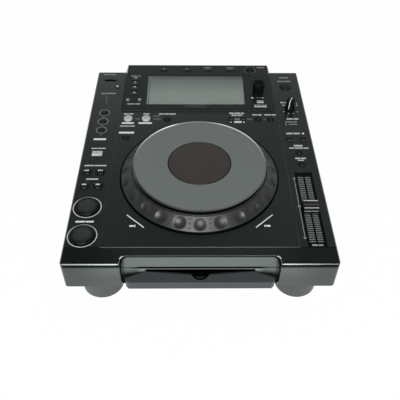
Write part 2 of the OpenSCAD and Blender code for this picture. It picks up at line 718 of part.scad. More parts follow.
module lcd_module() {
  color([0.3, 0.33, 0.32]) on_hood() {
    block([lcd_left, window_v - lcd_rim, -hood_wall - 6], [lcd_right, lcd_rear, -hood_wall]);
    block([window_x - window_w / 2 + 1, window_v + 1, -hood_wall - eps],
      [window_x + window_w / 2 - 1, window_v + window_d - 1, -window_t]);
  }
}

// ---------------------------------------------------------------- key boards

module key_boards() {
  deck_keys = concat(ROUND_KEYS, RECT_KEYS);
  color([0.1, 0.35, 0.2]) on_deck() difference() {
    union() {
      plate(left_board, board_top - board_t, board_top);
      plate(right_board, board_top - board_t, board_top);
      plate(rear_board, board_top - board_t, board_top);
      plate(beat_board, board_top - board_t, board_top);
      switches(deck_keys, wall, board_top);
      usb_socket();
      pot_body(pointer_at, board_top, -wall - 1);
    }
    for (b = BOSSES) translate([b[0], b[1], board_top - through / 2]) cylinder(r = 1.3, h = through / 2 + 1);
    translate([pointer_at[0], pointer_at[1], board_top + 0.5]) cylinder(r = 3 + run_fit, h = 20);
  }
  color([0.1, 0.35, 0.2]) on_hood() difference() {
    union() {
      difference() {
        union() {
          plate([-hood_board_half_w, hood_board_v[0], hood_board_half_w, hood_board_v[1]], hood_board_top - board_t, hood_board_top);
          plate([1 - deck_gap_rear_half_w, hood_board_v[0], deck_gap_rear_half_w - 1, hood_board_v[2]],
            hood_board_top - board_t, hood_board_top);
        }
        plate([lcd_left - 1, 0, lcd_right + 1, lcd_rear + 1], hood_board_top - through, through);
      }
      switches(concat(HOOD_ROUNDS, HOOD_RECTS), hood_wall, hood_board_top);
      pot_body(selector_at, hood_board_top, -hood_wall - 1);
    }
    for (p = hood_posts) translate([p[0], p[1], hood_board_top - 5]) cylinder(r = 1.3, h = 6);
    translate([selector_at[0], selector_at[1], hood_board_top + 0.5]) cylinder(r = 3 + run_fit, h = 20);
  }
}

// Body of a rotary control on a board.
module pot_body(at, low, high) translate([at[0], at[1], 0]) block([-6, -6, low - eps], [6, 6, high]);

// The USB socket's steel shell, with its tongue.
module usb_socket() {
  w = usb_port[0] / 2;
  d = usb_port[1] / 2;
  high = -wall - 1.4;
  translate([usb_at[0], usb_at[1], 0]) {
    difference() {
      block([-w - 0.4, -d - 0.4, board_top - eps], [w + 0.4, d + 0.4, high]);
      block([-w, -d, board_top + 0.6], [w, d, high + 1]);
    }
    block([-w + 1, d - 2.4, board_top], [w - 1, d - 0.8, high - 1]);
  }
}

// ---------------------------------------------------------------- tempo slider

module fader_frame() {
  half_l = tempo_travel + 14;
  low = -wall - 9;
  color([0.5, 0.5, 0.52]) on_deck() translate([tempo_x, tempo_mid, 0]) difference() {
    block([-fader_half_w, -half_l, low], [fader_half_w, half_l, -wall]);
    block([1 - fader_half_w, 1 - half_l, low + 1], [fader_half_w - 1, half_l - 1, -wall - 1]);
    block([-lever_w / 2 - 0.5, -tempo_travel - lever_l / 2 - 1.5, -wall - 2],
      [lever_w / 2 + 0.5, tempo_travel + lever_l / 2 + 1.5, 1]);
  }
  color([0.7, 0.7, 0.72]) on_deck() for (s = [-1, 1])
    translate([tempo_x + s * 4, tempo_mid - half_l + 0.5, -wall - 5]) rotate([-90, 0, 0]) cylinder(r = 1, h = 2 * half_l - 1);
}

module tempo_slider() {
  l = cap_l / 2;
  scoop = arc(-l * 0.52, cap_h + 3.2, 4.6, 250, 318, 6);
  cap = concat([[-l, 0], [l, 0], [l - 0.8, cap_h - 1.6]], [for (p = scoop) [-p[0], p[1]]],
    [for (i = [len(scoop) - 1:-1:0]) scoop[i]], [[0.8 - l, cap_h - 1.6]]);
  color([0.08, 0.08, 0.08]) on_deck() translate([tempo_x, tempo_mid + tempo_rest, 0]) {
    translate([0, 0, 0.3 - recess_deep]) along_x(-cap_w / 2, cap_w / 2) polygon(cap);
    block([-lever_w / 2, -lever_l / 2, -wall - 4], [lever_w / 2, lever_l / 2, 0]);
    difference() {
      block([-6, -5, -wall - 7.6], [6, 5, -wall - 2.5]);
      for (s = [-1, 1]) translate([s * 4, -6, -wall - 5]) rotate([-90, 0, 0]) cylinder(r = 1 + run_fit, h = 12);
    }
  }
}

// ---------------------------------------------------------------- knobs

// Push selector: a ribbed cap over a narrower collar.
module selector_knob() {
  ridges = 20;
  tier = selector_h * 0.42;
  color([0.05, 0.05, 0.05]) on_hood() translate([selector_at[0], selector_at[1], 0]) {
    difference() {
      rotate_extrude($fn = 72)
        polygon([[0, 0.5], [selector_r - 0.6, 0.5], [selector_r - 0.6, tier - 1.4], [selector_r - 2.2, tier - 0.6],
          [selector_r - 2.2, tier], [selector_r, tier + 0.4], [selector_r, selector_h - 1], [selector_r - 1, selector_h],
          [selector_r - 2.4, selector_h], [selector_r - 3, selector_h - 0.5], [0, selector_h - 0.5]]);
      for (i = [0:ridges - 1]) rotate(360 * i / ridges) translate([selector_r + 0.35, 0, tier - 0.2])
        cylinder(r = 0.9, h = selector_h, $fn = 8);
    }
    translate([0, 0, hood_board_top + 0.8]) cylinder(r = 3, h = -hood_board_top);
  }
}

module speed_knob() {
  color([0.06, 0.06, 0.06]) on_deck() translate([pointer_at[0], pointer_at[1], 0]) rotate(pointer_turn) {
    difference() {
      rotate_extrude($fn = 72)
        polygon([[0, 0.4], [pointer_r, 0.4], [pointer_r, 2.2], [pointer_r - 0.6, 3], [pointer_r - 1.4, pointer_h - 0.8],
          [pointer_r - 2.2, pointer_h], [0, pointer_h]]);
      for (s = [-1, 1]) translate([s * (pointer_r + 0.6), 0, 4.5 + pointer_h / 2]) rotate([0, s * 6, 0])
        cube([5, 30, pointer_h], center = true);
      block([-0.5, -pointer_r - 1, pointer_h - 0.5], [0.5, pointer_r + 1, pointer_h + 1]);
    }
    translate([0, 0, board_top + 0.8]) cylinder(r = 3, h = -board_top);
  }
}

// ---------------------------------------------------------------- jog wheel

module jog_base() {
  flange_r = jog_well_r + 7;
  color([0.2, 0.2, 0.21]) on_jog() {
    rotate_extrude($fn = 128)
      polygon([[0, dish_floor - dish_t], [jog_well_r + dish_wall, dish_floor - dish_t],
        [jog_well_r + dish_wall, -wall - 2], [flange_r, -wall - 2], [flange_r, -wall], [jog_well_r + 0.4, -wall],
        [jog_well_r + 0.4, dish_floor], [hub_r + 1, dish_floor], [hub_r + 1, dish_floor + 2.5],
        [post_r, dish_floor + 2.5], [post_r, ring_high + 0.8], [display_r, ring_high + 0.8],
        [display_r, jog_top - 2.6], [0, jog_top - 2.6]]);
    translate([0, encoder_y, dish_floor - eps]) cylinder(r = 4.5, h = gear_low - 2 - dish_floor);
    translate([0, encoder_y, dish_floor - eps])
      cylinder(r = encoder_pin_r, h = gear_low + gear_t + 0.8 - dish_floor);
  }
}

module jog_carrier() {
  pitch_r = jog_module * jog_teeth / 2;
  color([0.55, 0.56, 0.58]) on_jog() {
    rotate_extrude($fn = 128)
      polygon([[post_r + run_fit, dish_floor + 2.6], [hub_r, dish_floor + 2.6], [hub_r, carrier_low],
        [pitch_r - 6, carrier_low], [pitch_r - 6, gear_low], [pitch_r - 3, gear_low], [pitch_r - 3, carrier_low],
        [carrier_r, carrier_low], [carrier_r, carrier_top], [post_r + run_fit, carrier_top]]);
    translate([0, 0, gear_low]) linear_extrude(gear_t) difference() {
      polygon(gear_outline(jog_teeth, jog_module));
      circle(r = pitch_r - 4, $fn = 128);
    }
  }
}

module encoder_gear() {
  color([0.9, 0.9, 0.86]) on_jog() translate([0, encoder_y, 0]) {
    translate([0, 0, gear_low]) linear_extrude(gear_t) difference() {
      polygon(gear_outline(encoder_teeth, jog_module));
      circle(r = encoder_pin_r + run_fit);
    }
    translate([0, 0, gear_low - 1.9]) difference() {
      cylinder(r = 5, h = 2);
      translate([0, 0, -1]) cylinder(r = encoder_pin_r + run_fit, h = 4);
    }
  }
}

// Dished ring round the jog wheel, its slope filled by round finger dimples.
module jog_ring() {
  run = jog_ring_r - 0.8 - (carrier_r + 1.9);
  rise = ring_high - ring_edge - 0.8;
  slope = atan(rise / run);
  mid_r = jog_ring_r - 0.8 - run / 2;
  mid_z = ring_edge + 0.8 + rise / 2;
  lift = dimple_ball_r - dimple_deep;
  color([0.28, 0.29, 0.28]) on_jog() difference() {
    rotate_extrude($fn = 128)
      polygon([[jog_ring_r, ring_low], [jog_ring_r, ring_edge], [jog_ring_r - 0.8, ring_edge + 0.8],
        [carrier_r + 1.9, ring_high], [carrier_r + 0.1, ring_high], [carrier_r + 0.1, carrier_low],
        [carrier_r - 6, carrier_low], [carrier_r - 6, carrier_low - 2.6], [carrier_r + 1, carrier_low - 2.6],
        [jog_ring_r - 3.4, ring_edge - 1.6], [jog_ring_r - 3.4, ring_low]]);
    for (i = [0:dimples - 1]) rotate(360 * i / dimples - 90)
      translate([mid_r + lift * sin(slope), 0, mid_z + lift * cos(slope)]) sphere(r = dimple_ball_r, $fn = 48);
  }
}

module jog_plate() {
  skirt = 3;
  color([0.5, 0.51, 0.52]) on_jog() rotate_extrude($fn = 128)
    polygon([[jog_window_r + fit, jog_top - 2.2], [jog_window_r + fit, jog_top - 0.3], [jog_window_r + fit + 0.4, jog_top],
      [jog_plate_r - 1, jog_top], [jog_plate_r, jog_top - 1], [jog_plate_r + 0.5, carrier_top],
      [jog_plate_r + 0.5 - skirt, carrier_top], [jog_plate_r + 0.5 - skirt, jog_top - 3.6], [jog_window_r - 3, jog_top - 3.6],
      [jog_window_r - 3, jog_top - 2.2]]);
}

module jog_window() {
  color([0.2, 0.17, 0.16]) on_jog() translate([0, 0, jog_top - 2.2])
    rotate_extrude($fn = 128) polygon([[0, 0], [jog_window_r, 0], [jog_window_r, 1.6], [jog_window_r - 0.4, 2], [0, 2]]);
}

// ---------------------------------------------------------------- slot drive

module drive_frame() {
  w = drive_half_w;
  z0 = drive_floor;
  color([0.6, 0.6, 0.62]) on_table() difference() {
    union() {
      plate([-w, drive_front, w, drive_rear], z0, z0 + drive_plate);
      for (s = [-1, 1]) block([min(s * w, s * (w - drive_plate)), drive_front, z0],
        [max(s * w, s * (w - drive_plate)), drive_rear, guide_z]);
      block([-w, drive_rear - drive_plate, z0], [w, drive_rear, guide_z]);
      // Rod holders.
      for (s = [-1, 1]) for (y = [rod_front, rod_back - 2.5])
        block([s * rod_x - 3.4, y, z0 + eps], [s * rod_x + 3.4, y + 2.5, rod_z + 3]);
      // Pin of the sled gear.
      translate([sled_gear_x, sled_gear_y, z0]) cylinder(r = 3.2, h = rack_z - 0.3 - z0);
      translate([sled_gear_x, sled_gear_y, z0]) cylinder(r = 1.2, h = rack_z + rack_t + 0.8 - z0);
    }
    for (s = [-1, 1]) translate([s * rod_x, rod_front - 1, rod_z]) rotate([-90, 0, 0]) cylinder(r = rod_r, h = 80);
    translate([-w - 1, roller_y, roller_z]) rotate([0, 90, 0]) cylinder(r = roller_shaft_r + run_fit, h = 2 * w + 2);
    for (p = drive_feet) translate([p[0], p[1], z0 - 1]) cylinder(r = 1.3, h = 4);
    plate([-12, spindle_y + 30, 12, drive_rear - 12], z0 - 1, z0 + drive_plate + 1);
  }
}

module disc_guide() {
  color([0.14, 0.14, 0.14]) on_table() difference() {
    plate([-drive_half_w, drive_front, drive_half_w, drive_rear], guide_z, guide_z + 1.3);
    translate([0, spindle_y, guide_z - 1]) cylinder(r = 17, h = 4);
  }
}

module drive_motors() {
  z0 = drive_floor + drive_plate;
  color([0.65, 0.65, 0.67]) on_table() {
    translate([0, spindle_y, z0]) {
      cylinder(r = 12.5, h = motor_h);
      cylinder(r = motor_shaft_r, h = motor_h + 5);
    }
    for (p = side_motors) translate([p[0], p[1], z0]) cylinder(r = 9, h = motor_h + 1.5);
  }
}

module guide_rods() {
  color([0.8, 0.8, 0.82]) on_table() for (s = [-1, 1])
    translate([s * rod_x, rod_front, rod_z]) rotate([-90, 0, 0]) cylinder(r = rod_r, h = rod_back - rod_front);
}

module turntable() {
  z0 = drive_floor + drive_plate + motor_h + 0.3;
  color([0.12, 0.12, 0.12]) on_table() translate([0, spindle_y, z0]) rotate_extrude()
    polygon([[motor_shaft_r + run_fit, 0], [5, 0], [5, 0.8], [15, 0.8], [15, 2.2], [7.4, 2.2], [7.4, 3.4], [6.2, 4.6],
      [motor_shaft_r + run_fit, 4.6]]);
}

module pickup_sled() {
  w = rod_x + 5;
  reach = sled_gear_y - sled_travel - 4;
  pitch = PI * sled_module;
  rack_end = rack_x - 1.2 * sled_module;
  teeth = floor((sled_start + sled_l - reach) / pitch) - 1;
  // The tooth that faces the gear's gap.
  first = -ceil((sled_gear_y - reach - 2) / pitch);
  color([0.3, 0.3, 0.32]) on_table() difference() {
    union() {
      block([-w, sled_start, rod_z - 3.2], [w, sled_start + sled_l, rod_z + 3.2]);
      translate([0, sled_start + 10, rod_z + 3.2 - eps]) cylinder(r = 4.4, h = 1.2);
      block([w - eps, reach, rack_z], [rack_end, sled_start + sled_l, rack_z + rack_t]);
      for (i = [first:first + teeth]) let (y = sled_gear_y + i * pitch) if (y + pitch / 2 < sled_start + sled_l)
        translate([0, y, rack_z]) linear_extrude(rack_t) polygon(rack_tooth(pitch));
    }
    for (s = [-1, 1]) translate([s * rod_x, sled_start - 1, rod_z]) rotate([-90, 0, 0])
      cylinder(r = rod_r + run_fit, h = sled_l + 2);
  }
}

// One tooth of the sled's rack, pointing to +X about y = 0.
function rack_tooth(pitch) = let (
  half = pitch / 4 - tooth_slack / 2,
  low = 1.2 * sled_module,
  high = 0.9 * sled_module
) [[rack_x - low - eps, -half - low * tan(20)], [rack_x + high, -half + high * tan(20)],
  [rack_x + high, half - high * tan(20)], [rack_x - low - eps, half + low * tan(20)]];

module sled_gear() {
  color([0.88, 0.88, 0.84]) on_table() translate([sled_gear_x, sled_gear_y, rack_z])
    linear_extrude(rack_t) difference() {
      rotate(180 + 180 / sled_teeth) polygon(gear_outline(sled_teeth, sled_module));
      circle(r = 1.2 + run_fit, $fn = 48);
    }
}

module loading_roller() {
  end = drive_half_w - drive_plate - 2;
  color([0.1, 0.1, 0.1]) on_table() translate([0, roller_y, roller_z]) rotate([0, 90, 0]) rotate_extrude()
    polygon([[0, -end - 4], [roller_shaft_r, -end - 4], [roller_shaft_r, 2 - end], [5, 2 - end], [4.2, 0], [5, end - 2],
      [roller_shaft_r, end - 2], [roller_shaft_r, end + 4], [0, end + 4]]);
}

// ---------------------------------------------------------------- boards on the floor

// A board on its standoffs with its components.
module floor_board(area, blocks, cans) on_table() translate([0, 0, tub_floor + standoff_h]) difference() {
  union() {
    plate(area, 0, board_t);
    translate([area[0], area[1], board_t]) {
      for (b = blocks) block([b[0], b[1], -eps], [b[0] + b[2], b[1] + b[3], b[4]]);
      for (c = cans) translate([c[0], c[1], -eps]) cylinder(r = c[2], h = c[3]);
    }
  }
  for (p = board_posts()) translate([p[0], p[1], -1]) cylinder(r = 1.3, h = board_t + 2);
}

module main_board() color([0.1, 0.3, 0.2]) floor_board(main_area, main_blocks, main_cans);
module power_supply() color([0.5, 0.45, 0.2]) floor_board(supply_area, supply_blocks, supply_cans);

// ---------------------------------------------------------------- rear panel

module jack_panel() {
  color([0.12, 0.12, 0.12]) on_table() difference() {
    union() {
      block([-rear_panel_half_w, rear_wall_y, panel_z0], [rear_panel_half_w, panel_y1, panel_z1]);
      // Housings behind the panel.
      block([-74, rear_wall_y - 12, row_z - 7], [-18, rear_wall_y + eps, row_z + 7]);
      block([-12, rear_wall_y - 12, row_z - 6], [16, rear_wall_y + eps, row_z + 6]);
      block([lan_x - 8.5, rear_wall_y - 15, row_z - 8], [lan_x + 8.5, panel_y1 + 1, row_z + 8]);
      block([usb_x - 6.5, rear_wall_y - 15, row_z - 6.5], [usb_x + 6.5, panel_y1 + 1, row_z + 6.5]);
      block([inlet_x - 15, rear_wall_y - 18, row_z - 11], [inlet_x + 15, panel_y1 + 2, row_z + 11]);
      block([power_x - 9, rear_wall_y - 16, row_z - 9], [power_x + 9, rear_wall_y + eps, row_z + 9]);
      for (x = phono_x) translate([x, rear_wall_y, row_z]) rotate([-90, 0, 0]) cylinder(r = jack_r, h = deck_d + jack_out - rear_wall_y);
      for (x = phono_x) translate([x, rear_wall_y, row_z]) rotate([-90, 0, 0]) cylinder(r = 6.4, h = panel_t + 1.4);
      for (x = mini_x) translate([x, rear_wall_y, row_z]) rotate([-90, 0, 0]) cylinder(r = 4.6, h = panel_t + 2);
    }
    for (x = phono_x) translate([x, rear_wall_y - 6, row_z]) rotate([-90, 0, 0]) cylinder(r = 1.6, h = 40);
    for (x = mini_x) translate([x, rear_wall_y - 8, row_z]) rotate([-90, 0, 0]) cylinder(r = 1.8, h = 40);
    block([lan_x - 6, rear_wall_y - 12, row_z - 4.6], [lan_x + 6, panel_y1 + 5, row_z + 4.6]);
    block([lan_x - 3, rear_wall_y - 6, row_z - 6.6], [lan_x + 3, panel_y1 + 5, row_z - 4.5]);
    block([usb_x - 4.3, rear_wall_y - 10, row_z - 4], [usb_x + 4.3, panel_y1 + 5, row_z + 4]);
    inlet_cavity();
    translate([power_x, rear_wall_y - 13, row_z]) rotate([-90, 0, 0]) cylinder(r = power_r + key_fit, h = 40);
  }
  color([0.8, 0.8, 0.8]) on_table() {
    for (x = [-7, 0, 7]) block([inlet_x + x - 1, rear_wall_y - 15.5, row_z - 3 + (x == 0 ? 3 : 0)],
      [inlet_x + x + 1, rear_wall_y - 3.6, row_z + 1 + (x == 0 ? 3 : 0)]);
    block([usb_x - 2.8, rear_wall_y - 11, row_z - 1.6], [usb_x + 2.8, rear_wall_y - 3.6, row_z + 1.6]);
  }
}

// Hollow of the mains inlet, with two slanted lower corners.
module inlet_cavity() along_y(rear_wall_y - 15, panel_y1 + 5) translate([inlet_x, row_z])
  polygon([[-12, 8.4], [-12, -4], [-8, -8.4], [8, -8.4], [12, -4], [12, 8.4]]);

module power_button() {
  color([0.2, 0.2, 0.2]) on_table() translate([power_x, rear_wall_y - 9, row_z]) rotate([-90, 0, 0])
    rotate_extrude()
      polygon([[0, 0], [power_r, 0], [power_r, 13.2], [power_r - 0.8, 14], [0, 14]]);
}

// ---------------------------------------------------------------- keys, one body each

module dark_key() color([0.12, 0.13, 0.13]) on_deck() children();
module light_key() color([0.8, 0.82, 0.82]) on_deck() children();

module cue_button() dark_key() round_key(cue_key);
module play_button() dark_key() round_key(play_key);
module track_back_button() dark_key() round_key(track_back_key);
module track_forward_button() dark_key() round_key(track_forward_key);
module search_back_button() dark_key() round_key(search_back_key);
module search_forward_button() dark_key() round_key(search_forward_key);
module slip_button() light_key() rect_key(slip_key);
module cue_a_button() dark_key() round_key(cue_a_key);
module cue_b_button() dark_key() round_key(cue_b_key);
module cue_c_button() dark_key() round_key(cue_c_key);
module usb_stop_button() light_key() round_key(usb_stop_key);
module loop_in_button() light_key() round_key(loop_in_key, wall, panel_rise);
module loop_out_button() light_key() round_key(loop_out_key, wall, panel_rise);
module reloop_button() dark_key() round_key(reloop_key, wall, panel_rise);
module beat_button() dark_key() round_key(beat_key, wall, panel_rise);
module delete_button() dark_key() round_key(delete_key, wall, panel_rise);
module memory_button() dark_key() round_key(memory_key, wall, panel_rise);
module jog_mode_button() dark_key() round_key(jog_mode_key);
module sync_button() dark_key() rect_key(sync_key);
module master_button() dark_key() rect_key(master_key);
module tempo_range_button() dark_key() round_key(tempo_range_key);
module master_tempo_button() dark_key() round_key(master_tempo_key);

// The pair of call keys is one moulding, joined under the deck.
module call_keys() dark_key() {
  rect_key(call_back_key, wall, panel_rise);
  rect_key(call_next_key, wall, panel_rise);
  key_web(call_back_key, call_next_key, wall, 3);
}

// Web that joins two keys of one moulding, at the level of their flanges.
module key_web(a, b, skin, w) {
  top = -skin - fit / 2 - 0.2;
  low = -skin - fit / 2 - key_flange + 0.2;
  block([min(a[0], b[0]) - (a[0] == b[0] ? w / 2 : 0), min(a[1], b[1]) - (a[1] == b[1] ? w / 2 : 0), low],
    [max(a[0], b[0]) + (a[0] == b[0] ? w / 2 : 0), max(a[1], b[1]) + (a[1] == b[1] ? w / 2 : 0), top]);
}

// Keys of one hood moulding, joined in a row.
module hood_strip(keys, tint, w) color(tint) on_hood() {
  for (k = keys) rect_key(k, hood_wall);
  for (i = [1:len(keys) - 1]) key_web(keys[i - 1], keys[i], hood_wall, w);
}

module source_keys() hood_strip(source_list, [0.14, 0.15, 0.15], 4);
module menu_keys() hood_strip(menu_list, [0.14, 0.15, 0.15], 2.4);

module browse_keys() color([0.75, 0.78, 0.76]) on_hood() {
  for (k = browse_list) rect_key(k, hood_wall);
  key_web([browse_list[1][0], browse_list[0][1]], browse_list[1], hood_wall, 5);
}

module link_keys() color([0.7, 0.72, 0.72]) on_hood() {
  for (k = link_list) round_key(k, hood_wall);
  key_web(link_list[0], link_list[1], hood_wall, 3);
}

module info_button() color([0.12, 0.13, 0.13]) on_hood() round_key(info_key, hood_wall);

// ---------------------------------------------------------------- nodes

top_case();
bottom_case();
display_hood();
display_window();
lcd_module();
slot_bezel();
loading_lip();
feet();
case_screws();
jack_panel();
power_button();
jog_base();
jog_carrier();
jog_ring();
jog_plate();
jog_window();
encoder_gear();
fader_frame();
tempo_slider();
selector_knob();
speed_knob();
key_boards();
main_board();
power_supply();
drive_frame();
disc_guide();
drive_motors();
guide_rods();
turntable();
pickup_sled();
sled_gear();
loading_roller();
cue_button();
play_button();
track_back_button();
track_forward_button();
search_back_button();
search_forward_button();
slip_button();
cue_a_button();
cue_b_button();
cue_c_button();
usb_stop_button();
loop_in_button();
loop_out_button();
reloop_button();
beat_button();
call_keys();
delete_button();
memory_button();
source_keys();
menu_keys();
link_keys();
info_button();
browse_keys();
jog_mode_button();
sync_button();
master_button();
tempo_range_button();
master_tempo_button();
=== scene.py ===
import json
import math

import bpy
import numpy as np
from mathutils import Matrix, Vector


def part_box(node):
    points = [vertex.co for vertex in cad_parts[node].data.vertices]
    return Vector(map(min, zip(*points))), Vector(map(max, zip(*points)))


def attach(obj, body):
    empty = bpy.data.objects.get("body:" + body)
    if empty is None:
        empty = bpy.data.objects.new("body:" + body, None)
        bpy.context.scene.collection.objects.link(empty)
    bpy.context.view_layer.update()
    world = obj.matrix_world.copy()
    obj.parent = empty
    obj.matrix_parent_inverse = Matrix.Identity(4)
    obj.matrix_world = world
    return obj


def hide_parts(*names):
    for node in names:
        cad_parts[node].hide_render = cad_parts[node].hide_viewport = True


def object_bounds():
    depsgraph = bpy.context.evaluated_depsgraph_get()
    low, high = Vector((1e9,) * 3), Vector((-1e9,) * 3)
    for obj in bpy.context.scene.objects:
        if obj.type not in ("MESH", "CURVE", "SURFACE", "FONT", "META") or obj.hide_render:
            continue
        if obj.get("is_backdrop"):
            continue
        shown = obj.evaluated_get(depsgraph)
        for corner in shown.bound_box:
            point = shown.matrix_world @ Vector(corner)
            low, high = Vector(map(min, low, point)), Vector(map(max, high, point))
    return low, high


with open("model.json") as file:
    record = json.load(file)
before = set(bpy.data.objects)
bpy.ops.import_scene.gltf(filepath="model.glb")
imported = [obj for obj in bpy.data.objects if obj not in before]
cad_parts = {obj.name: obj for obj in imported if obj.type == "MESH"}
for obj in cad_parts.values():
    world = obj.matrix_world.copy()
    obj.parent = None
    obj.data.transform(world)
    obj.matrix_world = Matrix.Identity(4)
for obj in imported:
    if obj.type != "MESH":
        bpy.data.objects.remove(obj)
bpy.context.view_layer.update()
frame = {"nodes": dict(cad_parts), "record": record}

# ------------------------------ lower case
# A black powder-coated steel tub closes the player from below. Its floor has vent slots and deep
# wells for the case screws; the four feet are screwed into round pockets at its corners.

mm = 0.001


def tone(levels):
    """Linear colour of three display levels from 0 to 255."""
    v = np.array(levels) / 255
    return (*np.where(v < 0.04045, v / 12.92, ((v + 0.055) / 1.055) ** 2.4), 1.0)


def connect(tree, node, sockets):
    """Gives each input a link where its value is another node's output, or else the value."""
    for key, value in sockets.items():
        if isinstance(value, bpy.types.NodeSocket):
            tree.links.new(value, node.inputs[key])
        else:
            node.inputs[key].default_value = value


def wire(tree, kind, sockets=None, **settings):
    """Adds a node with its settings and connects its inputs."""
    node = tree.nodes.new(kind)
    for key, value in settings.items():
        setattr(node, key, value)
    connect(tree, node, sockets or {})
    return node


def calc(tree, operation, *values, **settings):
    """The result of a math node for up to three values."""
    node = wire(tree, "ShaderNodeMath", dict(enumerate(values)), operation=operation, **settings)
    return node.outputs[0]


def times(tree, *factors):
    """The product of several values."""
    product = factors[0]
    for factor in factors[1:]:
        product = calc(tree, "MULTIPLY", product, factor)
    return product


def ramp(tree, value, start, end, low=0.0, high=1.0, kind="SMOOTHSTEP"):
    """Goes from low to high while the value goes from start to end."""
    return wire(tree, "ShaderNodeMapRange", {0: value, 1: start, 2: end, 3: low, 4: high},
                interpolation_type=kind).outputs[0]


def blend(tree, share, first, second):
    """A colour between two, by a share from 0 to 1."""
    return wire(tree, "ShaderNodeMix", {0: share, 6: first, 7: second}, data_type="RGBA").outputs[2]


def cloud(tree, place, scale, detail, distortion=0.0):
    """Soft noise between 0 and 1."""
    return wire(tree, "ShaderNodeTexNoise", {"Vector": place, "Scale": scale, "Detail": detail,
                                             "Distortion": distortion}).outputs[0]


def effect(name, inputs, outputs):
    """Starts a node group and returns it with what it is given and its output node. Inputs are
    label: value, where None stands for a vector; all outputs are plain values."""
    group = bpy.data.node_groups.new(name, "ShaderNodeTree")
    for label, value in inputs.items():
        kind = "NodeSocketVector" if value is None else "NodeSocketFloat"
        socket = group.interface.new_socket(name=label, in_out="INPUT", socket_type=kind)
        if value is not None:
            socket.default_value = value
    for label in outputs:
        group.interface.new_socket(name=label, in_out="OUTPUT", socket_type="NodeSocketFloat")
    return group, group.nodes.new("NodeGroupInput").outputs, group.nodes.new("NodeGroupOutput")


def moulded_grain():
    """Group: spark-eroded texture. Height is small cells mixed with fine noise; Tone drifts."""
    group, given, made = effect("moulded_grain", {"Place": None, "Cells": 1500.0},
                                ["Height", "Tone"])
    place = given["Place"]
    cells = wire(group, "ShaderNodeTexVoronoi", {"Vector": place, "Scale": given["Cells"]})
    fine = cloud(group, place, calc(group, "MULTIPLY", given["Cells"], 0.45), 3.0)
    both = wire(group, "ShaderNodeMix", {0: 0.5, 2: cells.outputs["Distance"], 3: fine})
    connect(group, made, {"Height": both.outputs[0], "Tone": cloud(group, place, 22.0, 4.0)})
    return group


def worn_edge():
    """Group: Mask is 1 where a rounded normal leaves the true one, broken up by noise as rubbing
    does."""
    group, given, made = effect("worn_edge", {"Place": None, "Width": 0.0006}, ["Mask"])
    around = wire(group, "ShaderNodeBevel", {"Radius": given["Width"]}, samples=6).outputs[0]
    flat = wire(group, "ShaderNodeNewGeometry").outputs["Normal"]
    dot = wire(group, "ShaderNodeVectorMath", {0: around, 1: flat}, operation="DOT_PRODUCT")
    turned_away = ramp(group, dot.outputs["Value"], 0.995, 0.88, kind="LINEAR")
    rubs = cloud(group, given["Place"], 130.0, 5.0)
    kept = ramp(group, rubs, 0.42, 0.62, 0.15, 1.0, "LINEAR")
    connect(group, made, {"Mask": times(group, turned_away, kept)})
    return group


def handling():
    """Group: Film is a patchy trace of fingers and cloth; Dust gathers on faces that look up."""
    group, given, made = effect("handling", {"Place": None}, ["Film", "Dust"])
    film = ramp(group, cloud(group, given["Place"], 14.0, 6.0, 0.6), 0.35, 0.7, kind="LINEAR")
    specks = wire(group, "ShaderNodeTexVoronoi", {"Vector": given["Place"], "Scale": 420.0})
    small = ramp(group, specks.outputs["Distance"], 0.14, 0.08, kind="LINEAR")
    normal = wire(group, "ShaderNodeNewGeometry").outputs["Normal"]
    up = wire(group, "ShaderNodeSeparateXYZ", {0: normal}).outputs[2]
    facing = ramp(group, up, 0.6, 0.95, kind="LINEAR")
    connect(group, made, {"Film": film, "Dust": times(group, small, facing, film)})
    return group


GRAIN, WORN, HANDLED = moulded_grain(), worn_edge(), handling()
dust_grey = tone((150, 148, 142))
edge_polish, grain_height = 0.12, 0.2


def blank(name):
    """A new material and its node tree."""
    material = bpy.data.materials.new(name)
    material.use_nodes = True
    return material, material.node_tree


def at_place(tree, group, **values):
    """What a group gives at each place on the piece."""
    place = wire(tree, "ShaderNodeTexCoord").outputs["Object"]
    return wire(tree, "ShaderNodeGroup", {"Place": place, **values}, node_tree=group).outputs


def finish(name, levels, roughness, metallic=0.0, cells=1500.0, depth=0.02, spread=0.12,
           rubbed=None, wear=0.5, film=0.08, dust=0.0, soften=0.25, specular=0.5,
           tint=(1, 1, 1, 1)):
    """A material. Its display levels drift by `spread`, edges go to the levels `rubbed` by `wear`,
    and `film` and `dust` are traces of use. `depth` is the grain's bump strength, `soften` the
    radius in mm by which hard edges catch light."""
    material, tree = blank(name)
    grain, handled = at_place(tree, GRAIN, Cells=cells), at_place(tree, HANDLED)
    base = np.array(tone(levels)[:3])
    darkest, lightest = (*base * (1 - spread), 1), (*base * (1 + spread), 1)
    edge = tone(rubbed) if rubbed else (*np.minimum(base * 1.9 + 0.012, 1), 1)
    share = calc(tree, "MULTIPLY", at_place(tree, WORN)["Mask"], wear)
    colour = blend(tree, share, blend(tree, grain["Tone"], darkest, lightest), edge)
    dusted = calc(tree, "MULTIPLY", handled["Dust"], dust)
    rough = calc(tree, "MULTIPLY_ADD", handled["Film"], film, roughness - film / 2)
    rounded = wire(tree, "ShaderNodeBevel", {"Radius": soften * mm}, samples=6).outputs[0]
    bump = wire(tree, "ShaderNodeBump", {"Height": grain["Height"], "Strength": depth,
                                         "Distance": grain_height * mm, "Normal": rounded})
    connect(tree, tree.nodes["Principled BSDF"], {
        "Base Color": blend(tree, dusted, colour, dust_grey),
        "Roughness": calc(tree, "MULTIPLY_ADD", share, -edge_polish, rough, use_clamp=True),
        "Normal": bump.outputs[0],
        "Metallic": metallic,
        "Specular IOR Level": specular,
        "Specular Tint": tint,
    })
    return material


